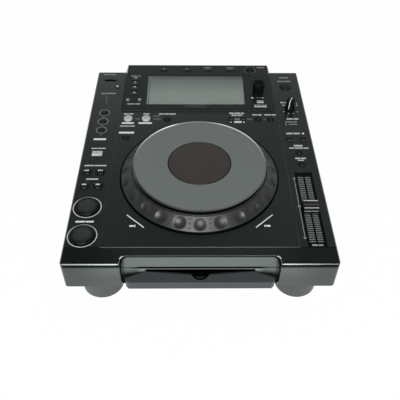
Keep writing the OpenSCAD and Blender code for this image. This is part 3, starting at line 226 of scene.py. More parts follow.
def dress(material, *nodes):
    """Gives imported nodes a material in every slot."""
    for name in nodes:
        node = frame["nodes"][name]
        node.data.materials.clear()
        node.data.materials.append(material)


powder_coat = finish("powder_coat", (34, 35, 36), 0.5, cells=900.0, depth=0.1, wear=0.4,
                     rubbed=(110, 110, 108))
dress(powder_coat, "bottom_case")

# ------------------------------ feet and case screws
# Soft grey rubber feet, turned with a rounded sole, sit in pockets of the lower case. They and
# the case are held by zinc-plated screws.

foot_rubber = finish("foot_rubber", (69, 77, 76), 0.5, cells=1100.0, depth=0.1, spread=0.07,
                     rubbed=(150, 152, 150), film=0.15, dust=0.5, soften=0.6)
dress(foot_rubber, "feet")
zinc = finish("zinc", (176, 178, 176), 0.34, metallic=1.0, cells=2600.0, depth=0.05, spread=0.1,
              film=0.12)
dress(zinc, "case_screws")

# ------------------------------ drive and boards
# The slot drive is a zinc-plated sheet frame with a black guide over the disc, a rubber roller,
# ground rods and white gears. The boards are green laminate; the supply's is tan paper laminate.

for name, levels, roughness, metallic, cells, depth, spread, nodes in (
    ("plated_sheet", (172, 173, 170), 0.38, 1.0, 700.0, 0.05, 0.16, ["drive_frame", "fader_frame"]),
    ("plated_can", (190, 190, 188), 0.26, 1.0, 2200.0, 0.03, 0.08, ["drive_motors"]),
    ("ground_rod", (205, 205, 205), 0.12, 1.0, 3200.0, 0.02, 0.04, ["guide_rods"]),
    ("guide_plastic", (38, 39, 40), 0.45, 0.0, 1200.0, 0.08, 0.12,
     ["disc_guide", "turntable", "pickup_sled"]),
    ("gear_white", (222, 221, 210), 0.38, 0.0, 1800.0, 0.03, 0.04, ["sled_gear", "encoder_gear"]),
    ("roller_rubber", (30, 30, 30), 0.7, 0.0, 900.0, 0.15, 0.12, ["loading_roller"]),
    ("solder_mask", (26, 92, 52), 0.3, 0.0, 600.0, 0.04, 0.2, ["main_board", "key_boards"]),
    ("laminate", (160, 128, 72), 0.5, 0.0, 500.0, 0.05, 0.14, ["power_supply"]),
):
    dress(finish(name, levels, roughness, metallic, cells, depth, spread), *nodes)

# ------------------------------ deck
# One moulded shell carries all controls: satin black with a trace of green, a finely eroded
# texture, polished bevels and a slightly raised middle panel. Pale ink bars stand where names
# of the controls would be printed.

deck_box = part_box("top_case")
panel_top = 0.6
deck_front = deck_box[0].y
deck_top = deck_box[1].z - panel_top * mm


def deck_frame():
    """Group: where a point lies in the deck's frame, in mm: Across from the middle, Behind the
    front edge and Below the deck."""
    group, given, made = effect("deck_frame", {"Place": None}, ["Across", "Behind", "Below"])
    x, y, z = wire(group, "ShaderNodeSeparateXYZ", {0: given["Place"]}).outputs
    connect(group, made, {
        "Across": calc(group, "MULTIPLY", calc(group, "ABSOLUTE", x), 1 / mm),
        "Behind": calc(group, "MULTIPLY_ADD", y, 1 / mm, -deck_front / mm),
        "Below": calc(group, "MULTIPLY_ADD", z, -1 / mm, deck_top / mm),
    })
    return group


DECK_FRAME = deck_frame()


def located(material):
    """A material's tree and its own deck frame: its Across, Behind and Below."""
    return material.node_tree, *at_place(material.node_tree, DECK_FRAME)


def round_axis(tree, across, along, middle):
    """Distance of a point from an axis at (0, middle), from its two coordinates."""
    off = calc(tree, "ADD", along, -middle)
    both = wire(tree, "ShaderNodeCombineXYZ", {0: across, 1: off}).outputs[0]
    return wire(tree, "ShaderNodeVectorMath", {0: both}, operation="LENGTH").outputs["Value"]


def between(value, a, b, c, d):
    """Two steps of a zone that begins from a to b and ends from c to d."""
    return (value, a, b), (value, c, d, 1, 0)


def shade(tree, amount, *steps):
    """1 plus an amount times the product of smooth steps: (value, start, end[, low, high])."""
    zone = times(tree, *[ramp(tree, *step) for step in steps])
    return calc(tree, "MULTIPLY_ADD", zone, amount, 1.0)


def shaded(material, factor, gloss=True):
    """Paints light and shade into a material: scales its colour, and its specular level too where
    `gloss` is set, by a value that depends on the place."""
    tree = material.node_tree
    shader = tree.nodes["Principled BSDF"]
    colour = shader.inputs["Base Color"].links[0].from_socket
    scaled = wire(tree, "ShaderNodeVectorMath", {0: colour, "Scale": factor}, operation="SCALE")
    connect(tree, shader, {"Base Color": scaled.outputs[0]})
    if gloss:
        level = shader.inputs["Specular IOR Level"].default_value
        connect(tree, shader, {"Specular IOR Level": calc(tree, "MULTIPLY", factor, level)})


green_sheen = (0.87, 1.0, 0.98, 1)


def satin_black(name, levels, wear):
    """The finish that the deck and its hood share."""
    return finish(name, levels, 0.26, cells=1700.0, depth=0.025, spread=0.1, wear=wear,
                  rubbed=(80, 87, 84), dust=0.15, soften=0.35, specular=1.0, tint=green_sheen)


deck_plastic = satin_black("deck_plastic", (21, 26, 25), 0.25)
tree, across, behind, below = located(deck_plastic)
on_top = (below, 0.7, 1.1, 1, 0)
# Strips in mm: each begins between its first two values and ends between its last two.
bevel_strip, corner_strip = (0.75, 1.1, 1.8, 2.4), (1.2, 2.2, 20.0, 26.0)
panel_front, panel_side = (22.2, 22.6, 23.4, 23.9), (110.4, 110.9, 111.6, 112.1)
recess_x, recess_y = (116.5, 117.5, 145.5, 146.5), (22.0, 24.0, 148.0, 152.0)
# Painted shade: the shadow line under the front bevel and the dark strip behind it.
under_bevel = calc(tree, "MAXIMUM", ramp(tree, below, 1.3, 1.7, 1, 0.03),
                   ramp(tree, below, 4.2, 8.4))
front_shade = calc(tree, "MAXIMUM", under_bevel, ramp(tree, behind, 0.6, 1.0))
bevel_shade = shade(tree, -0.85, *between(behind, *bevel_strip), on_top)
# Painted light on the low edges of the middle panel: lighter at its sides, darker at its front.
side_shade = shade(tree, 0.1, *between(across, *panel_side), (below, 0.2, 0.5, 1, 0),
                   (behind, 20.0, 22.0))
lip_shade = shade(tree, -0.7, *between(behind, *panel_front), on_top)
# Painted shade: the front corners of the deck and the slider's recess are darker.
corner_shade = shade(tree, -0.45, (across, 55, 125), *between(behind, *corner_strip), on_top)
recess_shade = shade(tree, -0.8, *between(across, *recess_x), (below, 0.4, 0.8),
                     *between(behind, *recess_y))
# Painted light: the front wall is lighter towards its middle.
glow_shade = shade(tree, 1.0, (behind, 0.6, 1.0, 1, 0), (across, 92, 142, 0.75, 0),
                   (below, 12, 28, 1, 0.35))
shaded(deck_plastic, times(tree, front_shade, side_shade, lip_shade, corner_shade, bevel_shade,
                           recess_shade, glow_shade))
dress(deck_plastic, "top_case")


def put(name, data):
    """Adds an object to the scene."""
    thing = bpy.data.objects.new(name, data)
    bpy.context.scene.collection.objects.link(thing)
    return thing


def build(name, shape, material, place, body, smooth=False):
    """Puts (points in mm, faces) in its place as a mesh piece that rides on a body."""
    points = np.asarray(place(shape[0])).reshape(-1, 3)
    mesh = bpy.data.meshes.new(name)
    mesh.from_pydata(points.tolist(), [], [list(face) for face in shape[1]])
    mesh.validate()
    mesh.materials.append(material)
    mesh.polygons.foreach_set("use_smooth", np.full(len(mesh.polygons), smooth))
    piece = put(name, mesh)
    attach(piece, body)
    return piece


def place_at(*origin):
    """A place: takes points in mm about an origin in metres to metres."""
    return lambda points: np.asarray(points, float) * mm + np.array(origin)


# On the deck points have an x, a distance behind the front edge and a height above the deck.
on_deck = place_at(0.0, deck_front, deck_top)


def slab(outline, low, high):
    """A prism: the outline, anticlockwise, at two heights with its sides and both ends."""
    outline = np.asarray(outline, float)
    count = len(outline)
    points = np.concatenate([np.column_stack([outline, np.full(count, h)]) for h in (low, high)])
    here = np.arange(count)
    after = (here + 1) % count
    sides = np.stack([here, after, after + count, here + count], -1).tolist()
    return points, [list(range(count))[::-1], list(range(count, 2 * count))] + sides


def joined(shapes):
    """Several (points, faces) as one; each shape's faces are renumbered past the points before."""
    starts = np.cumsum([0] + [len(points) for points, _ in shapes])
    faces = [[i + start for i in face] for (_, own), start in zip(shapes, starts) for face in own]
    return np.concatenate([points for points, _ in shapes]), faces


def bar(x, y, width, depth):
    """Outline of a bar about its middle."""
    w, d = width / 2, depth / 2
    return [(x - w, y - d), (x + w, y - d), (x + w, y + d), (x - w, y + d)]


def line(x0, y0, x1, y1, width):
    """Outline of a straight stroke between two points."""
    along = np.array([x1 - x0, y1 - y0]) / math.hypot(x1 - x0, y1 - y0)
    side = np.array([-along[1], along[0]]) * width / 2
    a, b = np.array([x0, y0]), np.array([x1, y1])
    return [a - side, b - side, b + side, a + side]


def disc(x, y, r, count=14):
    """Outline of a round dot."""
    t = np.arange(count) * 2 * np.pi / count
    return np.column_stack([x + r * np.cos(t), y + r * np.sin(t)])


def wedge(x, y, r, turn):
    """Outline of a small triangle that points to `turn` degrees."""
    t = np.radians(turn + np.array([0, 120, 240]))
    return np.column_stack([x + r * np.cos(t), y + r * np.sin(t)])


def ring(x, y, r, width, count=24):
    """A full ring as two half bands that meet: each goes out along its outer edge and back along
    its inner edge."""
    bands = []
    for start in (-90, 90):
        t = np.radians(np.linspace(start, start + 180, count))
        unit = np.column_stack([np.cos(t), np.sin(t)])
        bands.append(np.concatenate([unit * r, unit[::-1] * (r - width)]) + [x, y])
    return bands


def words(x0, x1, y, height, *shares):
    """A printed name as plain bars: from x0 to x1 in the given shares, with gaps between them."""
    gap = 0.35 * height
    free = (x1 - x0) - gap * (len(shares) - 1)
    widths = np.array(shares) / sum(shares) * free
    lefts = x0 + np.concatenate([[0], np.cumsum(widths[:-1] + gap)])
    return [bar(left + width / 2, y, width, height) for left, width in zip(lefts, widths)]


def each(outline, *rows):
    """One outline for each row of the values that it takes."""
    return [outline(*row) for row in rows]


def all_of(outlines, *rows):
    """All outlines of a kind that has several, such as words or rings, for each row of values."""
    return [part for row in rows for part in outlines(*row)]


def ink(name, outlines, material, level=0.0, low=-0.02, high=0.05, body="player", place=on_deck):
    """Printed marks: thin slabs over the outlines, from `low` to `high` mm above a level."""
    marks = joined([slab(outline, level + low, level + high) for outline in outlines])
    return build(name, marks, material, place, body)


def ink_finish(name, levels, spread=0.08):
    """A flat ink: it doesn't wear and has hardly any grain."""
    return finish(name, levels, 0.45, cells=2600.0, spread=spread, wear=0.0, film=0.05,
                  soften=0.02)


white_ink = ink_finish("white_ink", (232, 236, 234), 0.04)
soft_ink = ink_finish("soft_ink", (196, 201, 199), 0.05)
pale_ink = ink_finish("pale_ink", (150, 156, 153), 0.06)
grey_ink = ink_finish("grey_ink", (112, 119, 116))
dim_ink = ink_finish("dim_ink", (80, 86, 84))
faint_ink = ink_finish("faint_ink", (50, 54, 53))
# Black of gaps, seams and dark parts, also used for painted shadow.
gap_and_shadow_black = finish("gap_and_shadow_black", (9, 10, 10), 0.9, wear=0.0, specular=0.05)

# Left column: names, the rings of the two broad keys, and a string of three small rings.
broad_x, cue_y, play_y, broad_r = -132.9, 84.5, 40.5, 17.0
ink("left_names", all_of(words, (-142, -121, 314.2, 2.6, 3, 5), (-144, -125, 363.5, 2.0, 4, 4)),
    pale_ink)
left_key_rows = ((-146, -118, 157.4, 2.2, 4, 5), (-140.5, -125.5, 132.6, 2.4, 6),
                 (-141.5, -122.5, 190.8, 1.9, 3, 4))
ink("left_key_names", all_of(words, *left_key_rows), soft_ink)
ink("play_name", words(-143.5, -122.5, 61.8, 2.4, 5, 4), white_ink)
ink("play_rings", all_of(ring, (broad_x, cue_y, broad_r, 1.1), (broad_x, play_y, broad_r, 1.1)),
    soft_ink)
hot_x, hot_ys, hot_r = -132.4, (267.5, 248.0, 229.0), 7.5
hot_rings = all_of(ring, *[(hot_x, y, hot_r + 0.2, 1.5) for y in hot_ys])
links = [(hot_x, top - hot_r, hot_x, low + hot_r, 1.0) for top, low in zip(hot_ys, hot_ys[1:])]
tail = [(hot_x, hot_ys[-1] - hot_r, hot_x, 217.5, 1.0), (-134, 309, -131.4, 289, 0.8)]
ink("hot_cue_rings", hot_rings + each(line, *links, *tail), grey_ink)
ink("hot_cue_bar", [bar(hot_x, 209.6, 16.6, 3.6)], white_ink)

# Right column: names, a lamp, brackets and the dots round the pointer knob.
ink("right_names", all_of(words, (124, 137.5, 356, 2.4, 5), (120, 140, 346.6, 2.2, 4, 4)), pale_ink)
right_key_rows = ((118.8, 128.6, 292.6, 2.8, 5, 3), (120.6, 128.4, 286.4, 1.6, 5),
                  (123.5, 140, 254.3, 3.0, 4, 3), (119, 137.5, 222.2, 3.0, 4, 4),
                  (126, 137.6, 196.6, 3.0, 4), (119.5, 145, 191.8, 2.2, 3, 5, 3),
                  (127.5, 135.5, 167.6, 1.8, 4), (124.6, 138.6, 171.4, 2.6, 5, 5))
ink("right_key_names", all_of(words, *right_key_rows), soft_ink)
ink("right_lamps", [bar(142, 222.2, 2.8, 3.0)], white_ink)
brackets = ((142.3, 284, 142.3, 293, 1.1), (138, 284, 142.3, 284, 1.0),
            (121.2, 239.6, 121.2, 248.4, 1.0), (121.2, 247.6, 137, 247.6, 1.6),
            (125, 242.4, 137, 242.4, 1.6))
dots_x, knob_y, dots_r = 131.2, 279.0, 12.6
dots = [(dots_x + dots_r * math.cos(a), knob_y + dots_r * math.sin(a), 1.1, 12)
        for a in np.radians([-140, -104, -76, -40])]
ink("right_brackets", each(line, *brackets) + each(disc, *dots), pale_ink)

# Middle panel: names, bars and lines of the rear row, and the marks in front of the wheel.
rear_y = 253.0
rear_rows = ((-105, -91.5, 264.2, 2.6, 4, 3), (-77.5, -69, 264.2, 2.6, 4),
             (-55.5, -32, 264.2, 2.6, 4, 3, 5), (-108, -87.5, 237, 2.2, 3, 4, 4),
             (76, 89, 262.6, 2.6, 4, 3), (93, 109, 262.6, 2.6, 5, 3),
             (43.5, 64.5, 266.2, 3.2, 4, 5, 3), (46.5, 61.5, 261.6, 2.8, 4, 4))
ink("rear_names", all_of(words, *rear_rows), soft_ink, panel_top)
rear_bars = each(bar, (-97.7, 243.6, 16.6, 3.4), (-73.7, 243.6, 18.4, 3.4),
                 (-97.9, 222.8, 20.6, 3.6), (54.8, 246.4, 10.5, 3.4))
ink("rear_bars", rear_bars + each(wedge, (44.8, 246.2, 1.9, 180), (63.2, 246.2, 1.9, 0)), white_ink,
    panel_top)
rear_lines = each(line, (-88, rear_y, -82, rear_y, 1.8), (-63.5, 259.4, -53.5, 259.4, 1.8),
                  (-63.5, rear_y, -52.5, rear_y, 1.8), (67.6, rear_y, 75.2, rear_y, 1.8))
rear_lines += [bar(54, 252.6, 7.6, 4.4), disc(92.3, rear_y, 1.3),
               line(-98, 216.6, -98, 219.8, 5.0)]
ink("rear_lines", rear_lines, grey_ink, panel_top)
turns = []
for side in (-1, 1):
    turns += [line(side * 85.2, 71.9, side * 64.2, 52.2, 1.3), bar(side * 78.6, 54.6, 4.6, 2.6),
              wedge(side * 75.0, 54.6, 2.0, 90 - side * 90)]
ink("turn_marks", turns, white_ink, panel_top)

# A plated shell lines the socket for memory sticks, with a dark tongue in it.
usb_x, usb_y, usb_top, usb_deep = -131.5, 348.0, -4.1, -12.0
shell = each(bar, (usb_x, usb_y - 3.08, 14.2, 0.6), (usb_x, usb_y + 3.08, 14.2, 0.6),
             (usb_x - 6.8, usb_y, 0.6, 5.6), (usb_x + 6.8, usb_y, 0.6, 5.6))
ink("usb_shell", shell, zinc, low=usb_deep, high=usb_top)
ink("usb_tongue", [bar(usb_x, usb_y + 1.3, 11.4, 1.8)], gap_and_shadow_black, low=usb_deep,
    high=usb_top - 1.2)

# ------------------------------ disc slot
# A dark grey surround drops into the gap in the deck's front, and a lip with a finger notch
# lies below the slot. Both are satin mouldings.

surround_plastic = finish("surround_plastic", (76, 85, 84), 0.32, spread=0.06,
                          rubbed=(170, 178, 176), wear=0.3, specular=0.4)
tree, across, behind, below = located(surround_plastic)
# Painted shade for a groove above the slot, a painted highlight on the land under it and painted
# shade at the sides of the surround.
groove_strip = (9.1, 9.6, 11.5, 11.8)
groove_shade = shade(tree, -0.9, *between(below, *groove_strip), (across, 64, 80, 1, 0))
land_highlight = shade(tree, 1.0, (below, 11.6, 11.9), (across, 62, 72, 1.5, 0.1))
side_shade = shade(tree, -0.6, (across, 81.8, 85.4), (below, 1.0, 4.0))
# Painted shade: the recess darkens towards the lip, over a longer way at its ends, and is dark
# deep inside.
fade_way = calc(tree, "MAXIMUM", calc(tree, "MULTIPLY_ADD", across, 0.3, -9.0), 6.0)
fade = calc(tree, "DIVIDE", calc(tree, "ADD", below, -10.0), fade_way)
inside = calc(tree, "MAXIMUM", ramp(tree, behind, 4.5, 6.5, 1, 0.1),
              ramp(tree, below, 12.0, 12.6, 1, 0))
shaded(surround_plastic, times(tree, groove_shade, land_highlight,
                               ramp(tree, fade, 0.1, 0.85, 1.1, 0.08), inside, side_shade))
dress(surround_plastic, "slot_bezel")
# Painted shade: the lip's sloping facet is darker than its lower face; the slot's floor and the
# notch are dark.
lip_plastic = finish("lip_plastic", (62, 68, 69), 0.42, depth=0.04, spread=0.1)
tree, across, behind, below = located(lip_plastic)
facet = ramp(tree, below, 28.4, 29.4, 0.42, 0.9)
slot_floor = ramp(tree, behind, 3.4, 4.4, 1, 0.05)
finger_notch = ramp(tree, round_axis(tree, across, below, 15.4), 11.05, 11.3, 0.12, 1)
shaded(lip_plastic, times(tree, facet, slot_floor, finger_notch))
dress(lip_plastic, "loading_lip")

notch_half_w, notch_d, notch_r = 87.5, 11.2, 2.6


def notch_run(inset):
    """Half of the gap's plan, set in by a distance: a quarter round at the front, then straight
    back, a cut corner and across to the middle."""
    w, d, r = notch_half_w - inset, notch_d - inset, notch_r
    t = np.radians(np.linspace(270, 180, 7))
    front = np.column_stack([w + r + r * np.cos(t), r + r * np.sin(t)])
    return np.concatenate([front, [[w, d - 5], [w - 1.6, d - 1.6], [w - 6, d], [0, d]]])


def notch_band(inner, outer, high):
    """A strip along the gap between two insets, at a height that may follow the surround's
    slope."""
    left, right = notch_run(inner), notch_run(outer)
    shapes = []
    for s in (-1, 1):
        edges = [np.column_stack([s * run[:, 0], run[:, 1], high(run[:, 1])])
                 for run in (left, right)]
        top = np.concatenate(edges) + [0, 0, 0.06]
        points = np.concatenate([top, top - [0, 0, 0.16]])
        count = len(left)
        i = np.arange(count - 1)
        near, far, near_low, far_low = i, i + count, i + 2 * count, i + 3 * count
        sides = [(near, far, far + 1, near + 1), (near_low, near_low + 1, far_low + 1, far_low),
                 (near, near + 1, near_low + 1, near_low), (far, far_low, far_low + 1, far + 1)]
        faces = np.concatenate([np.stack(side, -1) for side in sides]).tolist()
        faces += [[0, 2 * count, 3 * count, count],
                  [count - 1, 2 * count - 1, 4 * count - 1, 3 * count - 1]]
        shapes.append((points, [face[::-1] for face in faces] if s < 0 else faces))
    return joined(shapes)


# The seam round the surround falls with its slope; beside it, the painted highlight of the deck's
# rounded edge is level.
surround_drop, surround_run = 9.7, 7.25
seam = notch_band(0.25, 0.9,
                  lambda y: np.minimum(0, (y - notch_d + 0.2) * surround_drop / surround_run))
build("surround_seam", seam, gap_and_shadow_black, on_deck, "player")
build("notch_edge_highlight", notch_band(-0.7, -0.1, lambda y: 0 * y), grey_ink, on_deck, "player")
# Painted highlights: white strokes where the deck's rounded edge turns at the gap's cut corners.
glints = [line(s * x0, y0, s * x1, y1, width)
          for x0, y0, x1, y1, width in ((87.9, 7.4, 86.5, 10.2, 1.2), (86.5, 10.2, 84.4, 11.1, 1.0))
          for s in (-1, 1)]
ink("notch_glints", glints, white_ink, low=0.0, high=0.12)

# ------------------------------ jog wheel
# A smoked ring with round finger dimples turns round a dish. It carries a satin grey plate with a
# dark window at its centre, on a die-cast carrier with a toothed rim.


def top_of(node):
    """The middle of a node's top, in metres."""
    low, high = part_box(node)
    return np.array([(low.x + high.x) / 2, (low.y + high.y) / 2, high.z])


def radius_of(node):
    """Half of a round node's width, in mm."""
    low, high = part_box(node)
    return (high.x - low.x) / 2 / mm


jog_x, jog_y, plate_z = top_of("jog_plate")
jog_behind, plate_top = (jog_y - deck_front) / mm, (plate_z - deck_top) / mm
rim_cut = 0.8
plate_r, window_r, ring_r = (radius_of(node) for node in ("jog_plate", "jog_window", "jog_ring"))
ring_r += rim_cut
on_jog = place_at(jog_x, jog_y, deck_top)
ring_edge, ring_high, ring_inner = 3.0, 14.8, 83.5
dimple_count, ball_r, dimple_deep = 24, 14.5, 2.1
slope = math.atan2(ring_high - ring_edge - rim_cut, ring_r - rim_cut - ring_inner)
slope_mid = np.array([(ring_r - rim_cut + ring_inner) / 2, (ring_edge + rim_cut + ring_high) / 2])


def turned(radius, height, angles):
    """Carries a closed profile of radii and heights round an axis: each angle's row of points is
    (radius cos, radius sin, height). Quads join each point to the next row and column."""
    c, s = np.cos(angles)[:, None], np.sin(angles)[:, None]
    points = np.stack([radius * c, radius * s, height + 0 * c], -1)
    rows, columns = points.shape[:2]
    i, j = np.arange(rows)[:, None] * columns, np.arange(columns)[None, :]
    after, beside = (i + columns) % (rows * columns), (j + 1) % columns
    quads = np.stack([i + j, after + j, after + beside, i + beside], -1)
    return points.reshape(-1, 3), quads.reshape(-1, 4)


def densify(corners, steps):
    """Points along a closed outline: `steps` to each side, evenly spaced between its corners."""
    corners = np.asarray(corners, float)
    following = np.roll(corners, -1, axis=0)
    return np.concatenate([a + (b - a) * np.linspace(0, 1, n, endpoint=False)[:, None]
                           for a, b, n in zip(corners, following, steps)])


def dimpled_ring():
    """The ring's section is carried round the axis; on the slope each point sinks along the slope's
    normal to the nearest of the balls that shape the dimples, and the rims are blended softly."""
    low, edge, high, inner, wall, rib = -1.5, ring_edge, ring_high, ring_inner, 3.4, 75.6
    outline = [[ring_r, low], [ring_r, edge - 0.3], [ring_r - 0.25, edge + 0.35],
               [ring_r - rim_cut, edge + rim_cut], [inner, high - 0.15], [inner - 0.35, high],
               [inner - 1.5, high], [inner - 1.8, high - 0.4], [inner - 1.8, 12.1], [rib, 12.1],
               [rib, 9.4], [82.6, 9.4], [ring_r - wall, 1.4], [ring_r - wall, low]]
    section = densify(outline, [3, 1, 1, 62, 1, 2, 1, 3, 2, 2, 2, 6, 2, 2])
    angles = np.linspace(0, 2 * np.pi, 20 * dimple_count, endpoint=False)
    r, z = section[:, 0][None, :], section[:, 1][None, :]
    out_r, out_z = np.sin(slope), np.cos(slope)
    lift = ball_r - dimple_deep
    # Angle from the nearest dimple; one dimple faces the front.
    pitch = 2 * np.pi / dimple_count
    off = ((angles + np.pi / 2 + pitch / 2) % pitch - pitch / 2)[:, None]
    centre = slope_mid + lift * np.array([out_r, out_z])
    square = (r * np.cos(off) - centre[0]) ** 2 + (r * np.sin(off)) ** 2 + (z - centre[1]) ** 2
    sink = -lift + np.sqrt(np.maximum(lift ** 2 + ball_r ** 2 - square, 1e-6))
    softness, reach, blend_w = 0.16, 8.1, 0.6
    sink = (sink + np.sqrt(sink ** 2 + softness ** 2)) / 2
    outside = r * out_r + z * out_z > slope_mid @ np.array([out_r, out_z]) - 0.3
    along = np.abs((r - slope_mid[0]) * out_z - (z - slope_mid[1]) * out_r)
    sink = np.where(outside, sink * np.clip((reach - along) / blend_w, 0, 1), 0)
    return turned(r - sink * out_r, z - sink * out_z, angles)


def ring_studs():
    """Three low domes in each gap between dimples: a half ball, flattened, turned onto the
    slope."""
    stud_r, stud_h, root, sides = 1.15, 0.3, -0.2, 12
    t, p = np.meshgrid(np.linspace(0, 2 * np.pi, sides, endpoint=False),
                       np.linspace(0, np.pi / 2, 4)[:-1], indexing="ij")
    dome = np.stack([stud_r * np.cos(p) * np.cos(t), stud_r * np.cos(p) * np.sin(t),
                     stud_h * np.sin(p)], -1).reshape(-1, 3)
    u, v, w = np.concatenate([dome, [[0, 0, stud_h], [0, 0, root]]]).T
    i = np.arange(sides)
    j = (i + 1) % sides
    faces = [[3 * a + k, 3 * b + k, 3 * b + k + 1, 3 * a + k + 1]
             for k in range(2) for a, b in zip(i, j)]
    faces += [[3 * a + 2, 3 * b + 2, 3 * sides] for a, b in zip(i, j)]
    faces += [[3 * b, 3 * a, 3 * sides + 1] for a, b in zip(i, j)]
    shapes = []
    for along in (-5.4, 0.0, 5.4):
        centre = slope_mid + along * np.array([math.cos(slope), -math.sin(slope)])
        # The dome's own axes: u along the slope, v round the ring, w out of the slope.
        x = centre[0] + u * math.cos(slope) + w * math.sin(slope)
        z = centre[1] - u * math.sin(slope) + w * math.cos(slope)
        for a in 2 * np.pi * (np.arange(dimple_count) + 0.5) / dimple_count - np.pi / 2:
            shapes.append((np.column_stack([x * np.cos(a) - v * np.sin(a),
                                            x * np.sin(a) + v * np.cos(a), z]), faces))
    return joined(shapes)


def round_jog(tree, across, behind, *step):
    """A smooth step over the distance from the jog axis."""
    return ramp(tree, round_axis(tree, across, behind, jog_behind), *step)


# Painted shadow: a dark crescent beside the gap round the ring, widest at the back.
well_r = 98.45
turn = np.radians(np.linspace(-24, 204, 49))
around = np.column_stack([np.cos(turn), np.sin(turn)])
shadow_w = np.maximum(1.1 + 2.5 * np.sin(turn), 0.05)
crescent = np.concatenate([around * (well_r + shadow_w)[:, None], around[::-1] * well_r])
ink("well_shadow", [crescent + [jog_x / mm, jog_behind]], gap_and_shadow_black, panel_top)

jog_smoke = finish("jog_smoke", (35, 39, 37), 0.38, cells=900.0, depth=0.03, spread=0.16,
                   rubbed=(110, 116, 113), wear=0.2, film=0.12, dust=0.2, soften=0.2, specular=0.65)
# Painted shade: the rim is darker where it turns down into the shadow of the gap round it.
tree, across, behind, _ = located(jog_smoke)
shaded(jog_smoke, round_jog(tree, across, behind, ring_r - 0.8, ring_r - 0.3, 1, 0.12))
jog_ring = build("jog_wheel_ring", dimpled_ring(), jog_smoke, on_jog, "jog_wheel",
                 smooth=True)
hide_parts("jog_ring")
stud_black = finish("stud_black", (34, 36, 35), 0.35, cells=2200.0, depth=0.01, soften=0.05)
build("jog_ring_studs", ring_studs(), stud_black, on_jog, "jog_wheel", smooth=True)

# The plate is near black on its side and has painted shade round its inner edge, where that edge
# would catch light; its outer edge is a polished rim.
plate_paint = finish("plate_paint", (108, 115, 113), 0.36, cells=2400.0, spread=0.03, wear=0.3,
                     rubbed=(175, 178, 178), film=0.1, dust=0.12, soften=0.9)
tree, across, behind, below = located(plate_paint)
inner_edge = round_jog(tree, across, behind, window_r + 0.7, window_r + 1.3, 0.3, 1)
shaded(plate_paint, times(tree, ramp(tree, below, -20.8, -20.3, 1, 0.02), inner_edge))
dress(plate_paint, "jog_plate")
rim_gloss = finish("rim_gloss", (222, 226, 224), 0.14, metallic=1.0, cells=2400.0, depth=0.01,
                   spread=0.03, wear=0.0, soften=0.02)
rim_r = plate_r + np.array([-0.3, 0.7, -1.55, -1.55])
rim_z = plate_top + np.array([-1.2, -0.44, 0.04, -1.2])
plate_rim = turned(rim_r, rim_z, np.arange(240) * 2 * np.pi / 240)
build("jog_plate_rim", plate_rim, rim_gloss, on_jog, "jog_wheel")

window_smoke = finish("window_smoke", (58, 54, 51), 0.2, cells=3000.0, depth=0.01, spread=0.05,
                      wear=0.0, specular=0.7)
# Painted shade: the window is darker round its rim, where its chamfer would catch light.
tree, across, behind, _ = located(window_smoke)
shaded(window_smoke, round_jog(tree, across, behind, window_r - 0.9, window_r - 0.5, 1, 0.2))
dress(window_smoke, "jog_window")
dish_black = finish("dish_black", (10, 11, 11), 0.6, cells=1200.0, depth=0.06, wear=0.1,
                    specular=0.2)
dress(dish_black, "jog_base")
cast_carrier = finish("cast_carrier", (168, 168, 170), 0.42, metallic=1.0, cells=800.0, depth=0.08)
dress(cast_carrier, "jog_carrier")

# ------------------------------ keys
# Black keys are satin mouldings that spring back under a finger; the lit ones are translucent
# white. Printed signs on some keys ride on those keys' own bodies.

key_black = finish("key_black", (14, 16, 16), 0.4, cells=2000.0, spread=0.06, rubbed=(46, 50, 49),
                   wear=0.15, film=0.12, dust=0.12, soften=0.35, specular=0.4, tint=green_sheen)
for entry in frame["record"]["subparts"]:
    if entry["material_slot"] == "key_dark":
        dress(key_black, entry["node"])
dress(key_black, "usb_stop_button")
# Painted light: the broad keys are lighter in their dished middles and dark at their rims.
key_broad = finish("key_broad", (40, 44, 43), 0.36, cells=1400.0, depth=0.03, spread=0.2,
                   rubbed=(60, 64, 63), wear=0.1, film=0.2, dust=0.2, soften=0.35, specular=0.8,
                   tint=green_sheen)
tree, across, behind, _ = located(key_broad)
beside = calc(tree, "ADD", across, broad_x)
radii = [round_axis(tree, beside, behind, middle) for middle in (cue_y, play_y)]
shaded(key_broad, ramp(tree, calc(tree, "MINIMUM", *radii), 7.0, 14.5, 1, 0.2))
dress(key_broad, "cue_button", "play_button")
white_keys = ("slip_button", "loop_in_button", "loop_out_button")
for name, levels, roughness, rubbed, nodes in (
    ("key_white", (190, 195, 193), 0.35, (225, 228, 226), white_keys),
    ("key_clear", (150, 160, 155), 0.3, (190, 196, 192), ["browse_keys"]),
    ("key_haze", (96, 103, 99), 0.34, (130, 136, 132), ["link_keys"]),
):
    lit = finish(name, levels, roughness, cells=2400.0, depth=0.01, spread=0.05, rubbed=rubbed)
    dress(lit, *nodes)


def key_sign(key, outlines, material, depth=0.2):
    """Ink on a key's top: outlines are in mm about the key's middle."""
    ink(key + "_sign", outlines, material, low=-depth, body=key, place=place_at(*top_of(key)))


for key, side in (("track_back_button", -1), ("track_forward_button", 1)):
    way = 90 - side * 90
    key_sign(key, [wedge(-side * 1.6, 0.4, 1.7, way), wedge(side * 0.8, 0.4, 1.7, way),
                   bar(side * 2.9, 0.4, 0.7, 2.6)], white_ink)
for key, side in (("search_back_button", -1), ("search_forward_button", 1)):
    way = 90 - side * 90
    key_sign(key, [wedge(-side * 1.4, 0.3, 1.9, way), wedge(side * 1.3, 0.3, 1.9, way)], white_ink)
key_sign("play_button", [wedge(-3.0, -1.5, 2.2, 0), bar(1.6, -1.5, 1.0, 3.4),
                         bar(3.6, -1.5, 1.0, 3.4)], faint_ink, 0.4)
for key in white_keys:
    key_sign(key, [bar(0, 0.2, 4.6, 1.3)], pale_ink)
key_sign("usb_stop_button", [wedge(0, -0.3, 3.1, 90)], soft_ink, 0.3)

# ------------------------------ tempo slider and knobs
# The slider's cap and the two knobs are matt black, with ribs for grip and pale index lines.
# Bars beside the slot make the tempo scale.

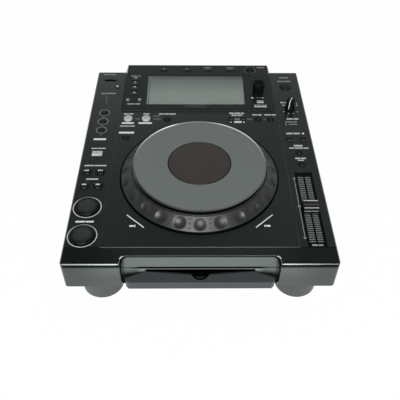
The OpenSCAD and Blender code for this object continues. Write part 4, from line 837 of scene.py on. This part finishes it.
grip_black = finish("grip_black", (22, 23, 23), 0.38, cells=1600.0, depth=0.05,
                    rubbed=(60, 63, 62), wear=0.2, soften=0.3, specular=0.3)
dress(grip_black, "tempo_slider")
knob_black = finish("knob_black", (6, 7, 7), 0.5, cells=1600.0, depth=0.04, rubbed=(40, 43, 42),
                    wear=0.3, soften=0.3, specular=0.15)
dress(knob_black, "selector_knob", "speed_knob")
tempo_x = top_of("tempo_slider")[0] / mm
scale_mid, scale_reach, scale_step, recess_floor = 84.5, 52.0, 3.25, -1.0
scale = []
for y in np.arange(scale_mid - scale_reach, scale_mid + scale_reach + 0.1, scale_step):
    scale += [bar(tempo_x - 4.4, y, 7.0, 1.7), bar(tempo_x + 4.6, y, 6.6, 1.7)]
ink("tempo_scale", scale, grey_ink, recess_floor)
ink("tempo_name", words(125, 137.6, 27.2, 2.4, 4, 3), pale_ink, recess_floor)
guide_x = tempo_x - 12.6
guide = [line(guide_x, 37, guide_x, 134, 0.7), disc(guide_x, 134, 1.4), disc(guide_x, 86, 1.9, 16),
         disc(guide_x, 37, 1.5)]
ink("tempo_guide", guide, pale_ink)
on_slider = place_at(*top_of("tempo_slider"))
ink("slider_lines", [bar(0, 5.9, 17.0, 1.0), bar(-0.3, -5.9, 17.0, 1.0)], soft_ink, low=-0.3,
    high=0.04, body="tempo_slider", place=on_slider)
ink("slider_front_line", [bar(0, -6.55, 17.0, 0.5)], pale_ink, low=-5.4, high=-4.5,
    body="tempo_slider", place=on_slider)


# The pointer is a strip along the knob's top and down its front: a profile in (y, z), extruded
# across and turned about the knob's axis.
knob_x, knob_r, knob_top, knob_turn, pointer_half = 131.0, 7.4, 15.0, math.radians(-25), 0.55
profile = [(knob_r - 2.3, knob_top - 0.5), (knob_r - 2.3, knob_top + 0.06),
           (2.3 - knob_r, knob_top + 0.06), (1.4 - knob_r, knob_top - 0.75), (0.5 - knob_r, 3.2),
           (0.9 - knob_r, 3.1), (1.9 - knob_r, knob_top - 0.9), (2.7 - knob_r, knob_top - 0.5)]
flat, faces = slab(profile, -pointer_half, pointer_half)
y, z, x = flat.T
c, s = math.cos(knob_turn), math.sin(knob_turn)
pointer = np.column_stack([knob_x + x * c - y * s, knob_y + x * s + y * c, z])
build("speed_knob_line", (pointer, faces), white_ink, on_deck, "speed_knob")

# ------------------------------ display hood
# A sloping moulding over the rear of the deck, in the deck's own finish, carries the display in
# an opening with low walls. A pane of clear acrylic closes the opening.

hood_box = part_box("display_hood")
hood_front = (hood_box[0].y - deck_front) / mm
hood_front_h, hood_rear_h, hood_depth = 3.2, 10.7, 101.4
tilt = math.atan2(hood_rear_h - hood_front_h, hood_depth)
screen_x, screen_w, screen_v, screen_d = -3.8, 141.0, 10.6, 65.2


def on_hood(points):
    """From x, distance up the hood's slope and height above it, in mm, to metres."""
    x, v, n = np.asarray(points, float).T
    y = v * math.cos(tilt) - n * math.sin(tilt)
    z = v * math.sin(tilt) + n * math.cos(tilt)
    return np.column_stack([x * mm, hood_box[0].y + y * mm, deck_top + (hood_front_h + z) * mm])


hood_plastic = satin_black("hood_plastic", (21, 27, 24), 0.06)
# Painted shade darkens the opening's rear wall and the hood's low front edge, which lie in shadow.
tree, across, behind, below = located(hood_plastic)
wall = hood_front + (screen_v + screen_d) * math.cos(tilt)
wall_zone = times(tree, ramp(tree, behind, wall - 0.8, wall - 0.4),
                  ramp(tree, behind, wall + 0.6, wall + 1.0, 1, 0),
                  ramp(tree, across, 76.0, 78.0, 1, 0))
edge_zone = times(tree, ramp(tree, behind, hood_front + 0.9, hood_front + 1.3, 1, 0),
                  ramp(tree, below, -2.4, -1.8, 1, 0))
dark_zone = calc(tree, "MAXIMUM", wall_zone, edge_zone)
shaded(hood_plastic, calc(tree, "MULTIPLY_ADD", dark_zone, -0.7, 1.0))
dress(hood_plastic, "display_hood")

# The unlit display is grey-green with painted light: lighter at its front, darker to the rear.
screen_face = finish("screen_face", (153, 158, 154), 0.5, cells=3600.0, depth=0.005, spread=0.02,
                     wear=0.0, film=0.02)
tree, _, behind, _ = located(screen_face)
screen_front = hood_front + screen_v
shaded(screen_face, ramp(tree, behind, screen_front + 0.4 * screen_d, screen_front + screen_d, 1.72,
                         0.8, "LINEAR"), gloss=False)
dress(screen_face, "lcd_module")

# The window is a pane of clear acrylic with a trace of green and faint smears.
window_clear, tree = blank("window_clear")
connect(tree, tree.nodes["Principled BSDF"], {
    "Roughness": calc(tree, "MULTIPLY_ADD", at_place(tree, HANDLED)["Film"], 0.03, 0.02),
    "Base Color": (0.93, 0.97, 0.95, 1),
    "Transmission Weight": 1.0,
    "IOR": 1.49,
})
window_t, air, play, wall_lean = 1.6, 0.15, 0.1, 1.3
pane_left, pane_right = screen_x - screen_w / 2 + play, screen_x + screen_w / 2 - play
pane_near, pane_far = screen_v + play, screen_v + screen_d - play
pane_points, pane_faces = slab([(pane_left, pane_near), (pane_right, pane_near),
                                (pane_right, pane_far), (pane_left, pane_far)], air - window_t, 0)
pane_points[2:4, 1] -= wall_lean
glass_pane = build("window_pane", (pane_points, pane_faces), window_clear, on_hood, "player")
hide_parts("display_window")
screen_top = screen_v + screen_d
screen_border = [bar(screen_x, screen_top - 2.0, screen_w - 4, 1.0),
                 bar(pane_left + 2.4, screen_v + screen_d / 2 - 1, 1.2, screen_d - 6)]
ink("screen_border", screen_border, grey_ink, -window_t, place=on_hood)
# A painted shadow: a grey line below the border's top strip.
ink("screen_shadow_line", [bar(screen_x, screen_top - 6.2, screen_w - 8, 1.2)], grey_ink, -window_t,
    high=0.04, place=on_hood)

# Printed names and lamps on the hood; small pale bars and dark ribs on its keys.
source_x, source_vs = -92.8, (34.6, 47.2, 57.9, 68.5)
menu_xs = (-51.7, -16.7, 15.3, 49.3)
hood_rows = [(source_x - 7.5, source_x + 6.5, source_vs[-1] + 6.4, 2.0, 4, 3),
             (-101.5, -83, 11.3, 2.6, 4, 3), (90, 101.5, 96.4, 2.0, 4)]
hood_rows += [(x - 6, x + 6, 95.9, 1.4, 4, 3) for x in menu_xs[2:]]
ink("hood_names", all_of(words, *hood_rows), pale_ink, place=on_hood)
ink("hood_lamps", [bar(78.2, 25.2, 3.2, 1.9), bar(93.6, 25.4, 2.2, 1.6)], white_ink, place=on_hood)
red_ink = ink_finish("red_ink", (100, 74, 74))
ink("hood_red_strip", [bar(87.4, 25.2, 8.6, 1.9)], red_ink, place=on_hood)
ink("info_ring", ring(79.2, 90.4, 8.6, 1.0), dim_ink, place=on_hood)
ink("hood_seam", [line(-20, 6.6, 12, 6.6, 0.6)], grey_ink, place=on_hood)
for name, marks, material, low, high, body in (
    ("source_key_marks", [(source_x, v - 0.2, 3.2, 1.3) for v in source_vs], white_ink, 2.1, 2.24,
     "source_keys"),
    ("menu_key_marks", [(x, 91.0, 2.2, 1.4) for x in menu_xs], pale_ink, 1.9, 2.04, "menu_keys"),
    ("link_key_marks", [(x, 19.8, 3.0, 1.2) for x in (-101.2, -84.4)], white_ink, 1.5, 1.75,
     "link_keys"),
    ("browse_ribs", [(88.4 + 3.5 * i, 7.3, 0.9, 5.0) for i in (-1.5, -0.5, 0.5, 1.5)], gap_and_shadow_black,
     1.1, 1.25, "browse_keys"),
):
    ink(name, each(bar, *marks), material, low=low, high=high, body=body, place=on_hood)

# ------------------------------ rear panel
# A black painted steel plate with the sockets of such a player: nickel-plated sleeves with
# coloured rings and inserts, and plain pale bars where names of the sockets would stand.

panel_paint = finish("panel_paint", (32, 33, 33), 0.42, cells=1000.0, depth=0.07,
                     rubbed=(96, 96, 94))
dress(panel_paint, "jack_panel")
dress(key_black, "power_button")
panel_low, panel_high = 13.0, 44.0
row_z = (panel_low + panel_high) / 2 - 1
deck_depth, panel_inset, panel_proud = 370.6, 3.2, 1.2
panel_face = deck_front / mm + deck_depth - panel_inset + panel_proud
jack_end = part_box("jack_panel")[1].y / mm - panel_face


def on_panel(points):
    """From x, height above the table and distance out of the panel's face, in mm, to metres."""
    x, z, out = np.asarray(points, float).T
    return np.column_stack([x, panel_face + out, z]) * mm


def sleeves(xs, profile, count=40):
    """Tubes at several x: a closed profile of (radius, distance out), turned about an axis out of
    the panel."""
    r, out = np.array(profile).T
    points, faces = turned(r, out, np.arange(count) * 2 * np.pi / count)
    return [(points * [-1, 1, 1] + [x, row_z, 0], faces) for x in xs]


nickel = finish("nickel", (196, 192, 180), 0.2, metallic=1.0, cells=3000.0, depth=0.01, spread=0.05)
sleeve_profile = [(4.15, 1.4), (4.3, 1.6), (4.3, jack_end - 0.5), (4.0, jack_end + 0.05),
                  (3.1, jack_end + 0.05), (3.05, 1.4)]
collar_profile = [(6.6, 1.3), (6.6, 1.9), (5.9, 2.4), (4.3, 2.4), (4.3, 1.3)]
insert_profile = [(3.1, jack_end - 1.6), (3.1, jack_end - 1.0), (1.7, jack_end - 1.0),
                  (1.7, jack_end - 1.6)]
build("phono_sleeves", joined(sleeves((-66, -50, -26), sleeve_profile)), nickel, on_panel, "player",
      smooth=True)
for name, levels, x in (("phono_white", (222, 222, 218), -66), ("phono_red", (160, 30, 32), -50),
                        ("phono_orange", (196, 104, 34), -26)):
    coloured = joined(sleeves([x], collar_profile) + sleeves([x], insert_profile))
    build(name, coloured, finish(name, levels, 0.4, cells=1800.0), on_panel, "player",
          smooth=True)
marks = []
for x, half in ((-66, 5), (-50, 5), (-26, 9), (-6, 5), (10, 5), (36, 8), (62, 7), (85, 12),
                (-88, 9)):
    shares = (4, 3) if half < 8 else (4, 5, 3)
    marks += words(x - half, x + half, panel_high - 3.2, 1.4, *shares)
bracket_z, bracket_end = panel_low + 3.0, panel_low + 4.6
marks += each(line, (-72, bracket_z, -44, bracket_z, 0.5), (-72, bracket_z, -72, bracket_end, 0.5),
              (-44, bracket_z, -44, bracket_end, 0.5))
ink("panel_names", [np.array(outline)[::-1] for outline in marks], pale_ink, place=on_panel)

# ------------------------------ studio
# A pale floor, one soft box above and behind the viewer and a sky that is bright near the horizon
# and dim overhead, so that the deck stays dark and its front takes the floor's light.

focal_px, render_px, sensor_w = 553.1, 400, 36.0
camera_data = bpy.data.cameras.new("view")
camera_data.sensor_width = sensor_w
camera_data.lens = sensor_w * focal_px / render_px
camera_data.clip_start, camera_data.clip_end = 0.02, 50.0
camera = put("view", camera_data)
# It looks along +Y, turned to the right, tilted down and rolled, in degrees.
view_at, yaw, pitch, roll = (-0.00931, -0.55399, 0.5623), 1.21, 46.0, -0.85
stance = Matrix.Translation(view_at)
for degrees, axis in ((-yaw, "Z"), (90.0 - pitch, "X"), (-roll, "Z")):
    stance = stance @ Matrix.Rotation(math.radians(degrees), 4, axis)
camera.matrix_world = stance
bpy.context.scene.camera = camera

floor_half, floor_z = 12.0, -0.2 * mm
floor_mesh = bpy.data.meshes.new("floor")
floor_mesh.from_pydata([(x * floor_half, y * floor_half, floor_z)
                        for x, y in ((-1, -1), (1, -1), (1, 1), (-1, 1))], [], [(0, 1, 2, 3)])
floor = put("floor", floor_mesh)
floor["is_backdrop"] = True
# The floor looks evenly white to the viewer and in reflections, and lights the player as matt
# paint does.
floor_paint, tree = blank("floor_paint")
tree.nodes.remove(tree.nodes["Principled BSDF"])
rays = wire(tree, "ShaderNodeLightPath").outputs
seen = calc(tree, "MAXIMUM", rays["Is Camera Ray"], rays["Is Glossy Ray"])
matt = wire(tree, "ShaderNodeBsdfDiffuse", {"Color": (0.93, 0.93, 0.93, 1)})
white = wire(tree, "ShaderNodeEmission", {"Color": (1, 1, 1, 1), "Strength": 1.0})
both = wire(tree, "ShaderNodeMixShader", {0: calc(tree, "MULTIPLY", seen, 0.98),
                                          1: matt.outputs[0], 2: white.outputs[0]})
connect(tree, tree.nodes["Material Output"], {"Surface": both.outputs[0]})
floor_mesh.materials.append(floor_paint)

world = bpy.data.worlds.new("studio")
bpy.context.scene.world = world
world.use_nodes = True
tree = world.node_tree
direction = wire(tree, "ShaderNodeTexCoord").outputs["Generated"]
across, ahead, height = wire(tree, "ShaderNodeSeparateXYZ", {0: direction}).outputs
overhead = ramp(tree, height, 0.1, 0.8, 1.0, 0.115)
left = ramp(tree, across, -0.26, -0.12, 0.45, 1.0)
right = wire(tree, "ShaderNodeMix", {0: ramp(tree, across, 0.04, 0.16), 2: 1.0,
                                     3: ramp(tree, height, 0.58, 0.74, 0.55, 1.3)}).outputs[0]
# Low behind the deck the sky has two bright patches with a dim one between them.
off = calc(tree, "ABSOLUTE", across)
low_behind = times(tree, ramp(tree, height, 0.46, 0.56, 1, 0), ramp(tree, ahead, 0.2, 0.4))
bright = times(tree, low_behind, ramp(tree, off, 0.09, 0.13), ramp(tree, off, 0.26, 0.36, 1, 0))
dim = times(tree, low_behind, ramp(tree, off, 0.06, 0.11, 1, 0))
patches = calc(tree, "MULTIPLY_ADD", dim, -0.6, calc(tree, "MULTIPLY_ADD", bright, 0.9, 1.0))
# The viewer sees plain white.
viewer = wire(tree, "ShaderNodeLightPath").outputs["Is Camera Ray"]
level = wire(tree, "ShaderNodeMix", {0: viewer, 2: times(tree, overhead, left, right, patches),
                                     3: 1.0})
connect(tree, tree.nodes["Background"], {"Strength": level.outputs[0], "Color": (1, 1, 1, 1)})


def soft_box(name, at, size, power):
    """A rectangular area lamp aimed at the player."""
    data = bpy.data.lights.new(name, "AREA")
    data.shape, data.size, data.size_y, data.energy = "RECTANGLE", *size, power
    lamp = put(name, data)
    lamp.location = at
    lamp.rotation_euler = (Vector((0, 0, 0.05)) - Vector(at)).to_track_quat("-Z", "Y").to_euler()
    return lamp


soft_box("key", (-0.1, -1.68, 1.45), (1.5, 1.1), 42.0)
fill = soft_box("fill", (0.5, 0.2, 2.2), (1.0, 1.0), 5.0)
fill.visible_glossy = False

bpy.context.scene.view_settings.view_transform = "Standard"
low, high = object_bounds()
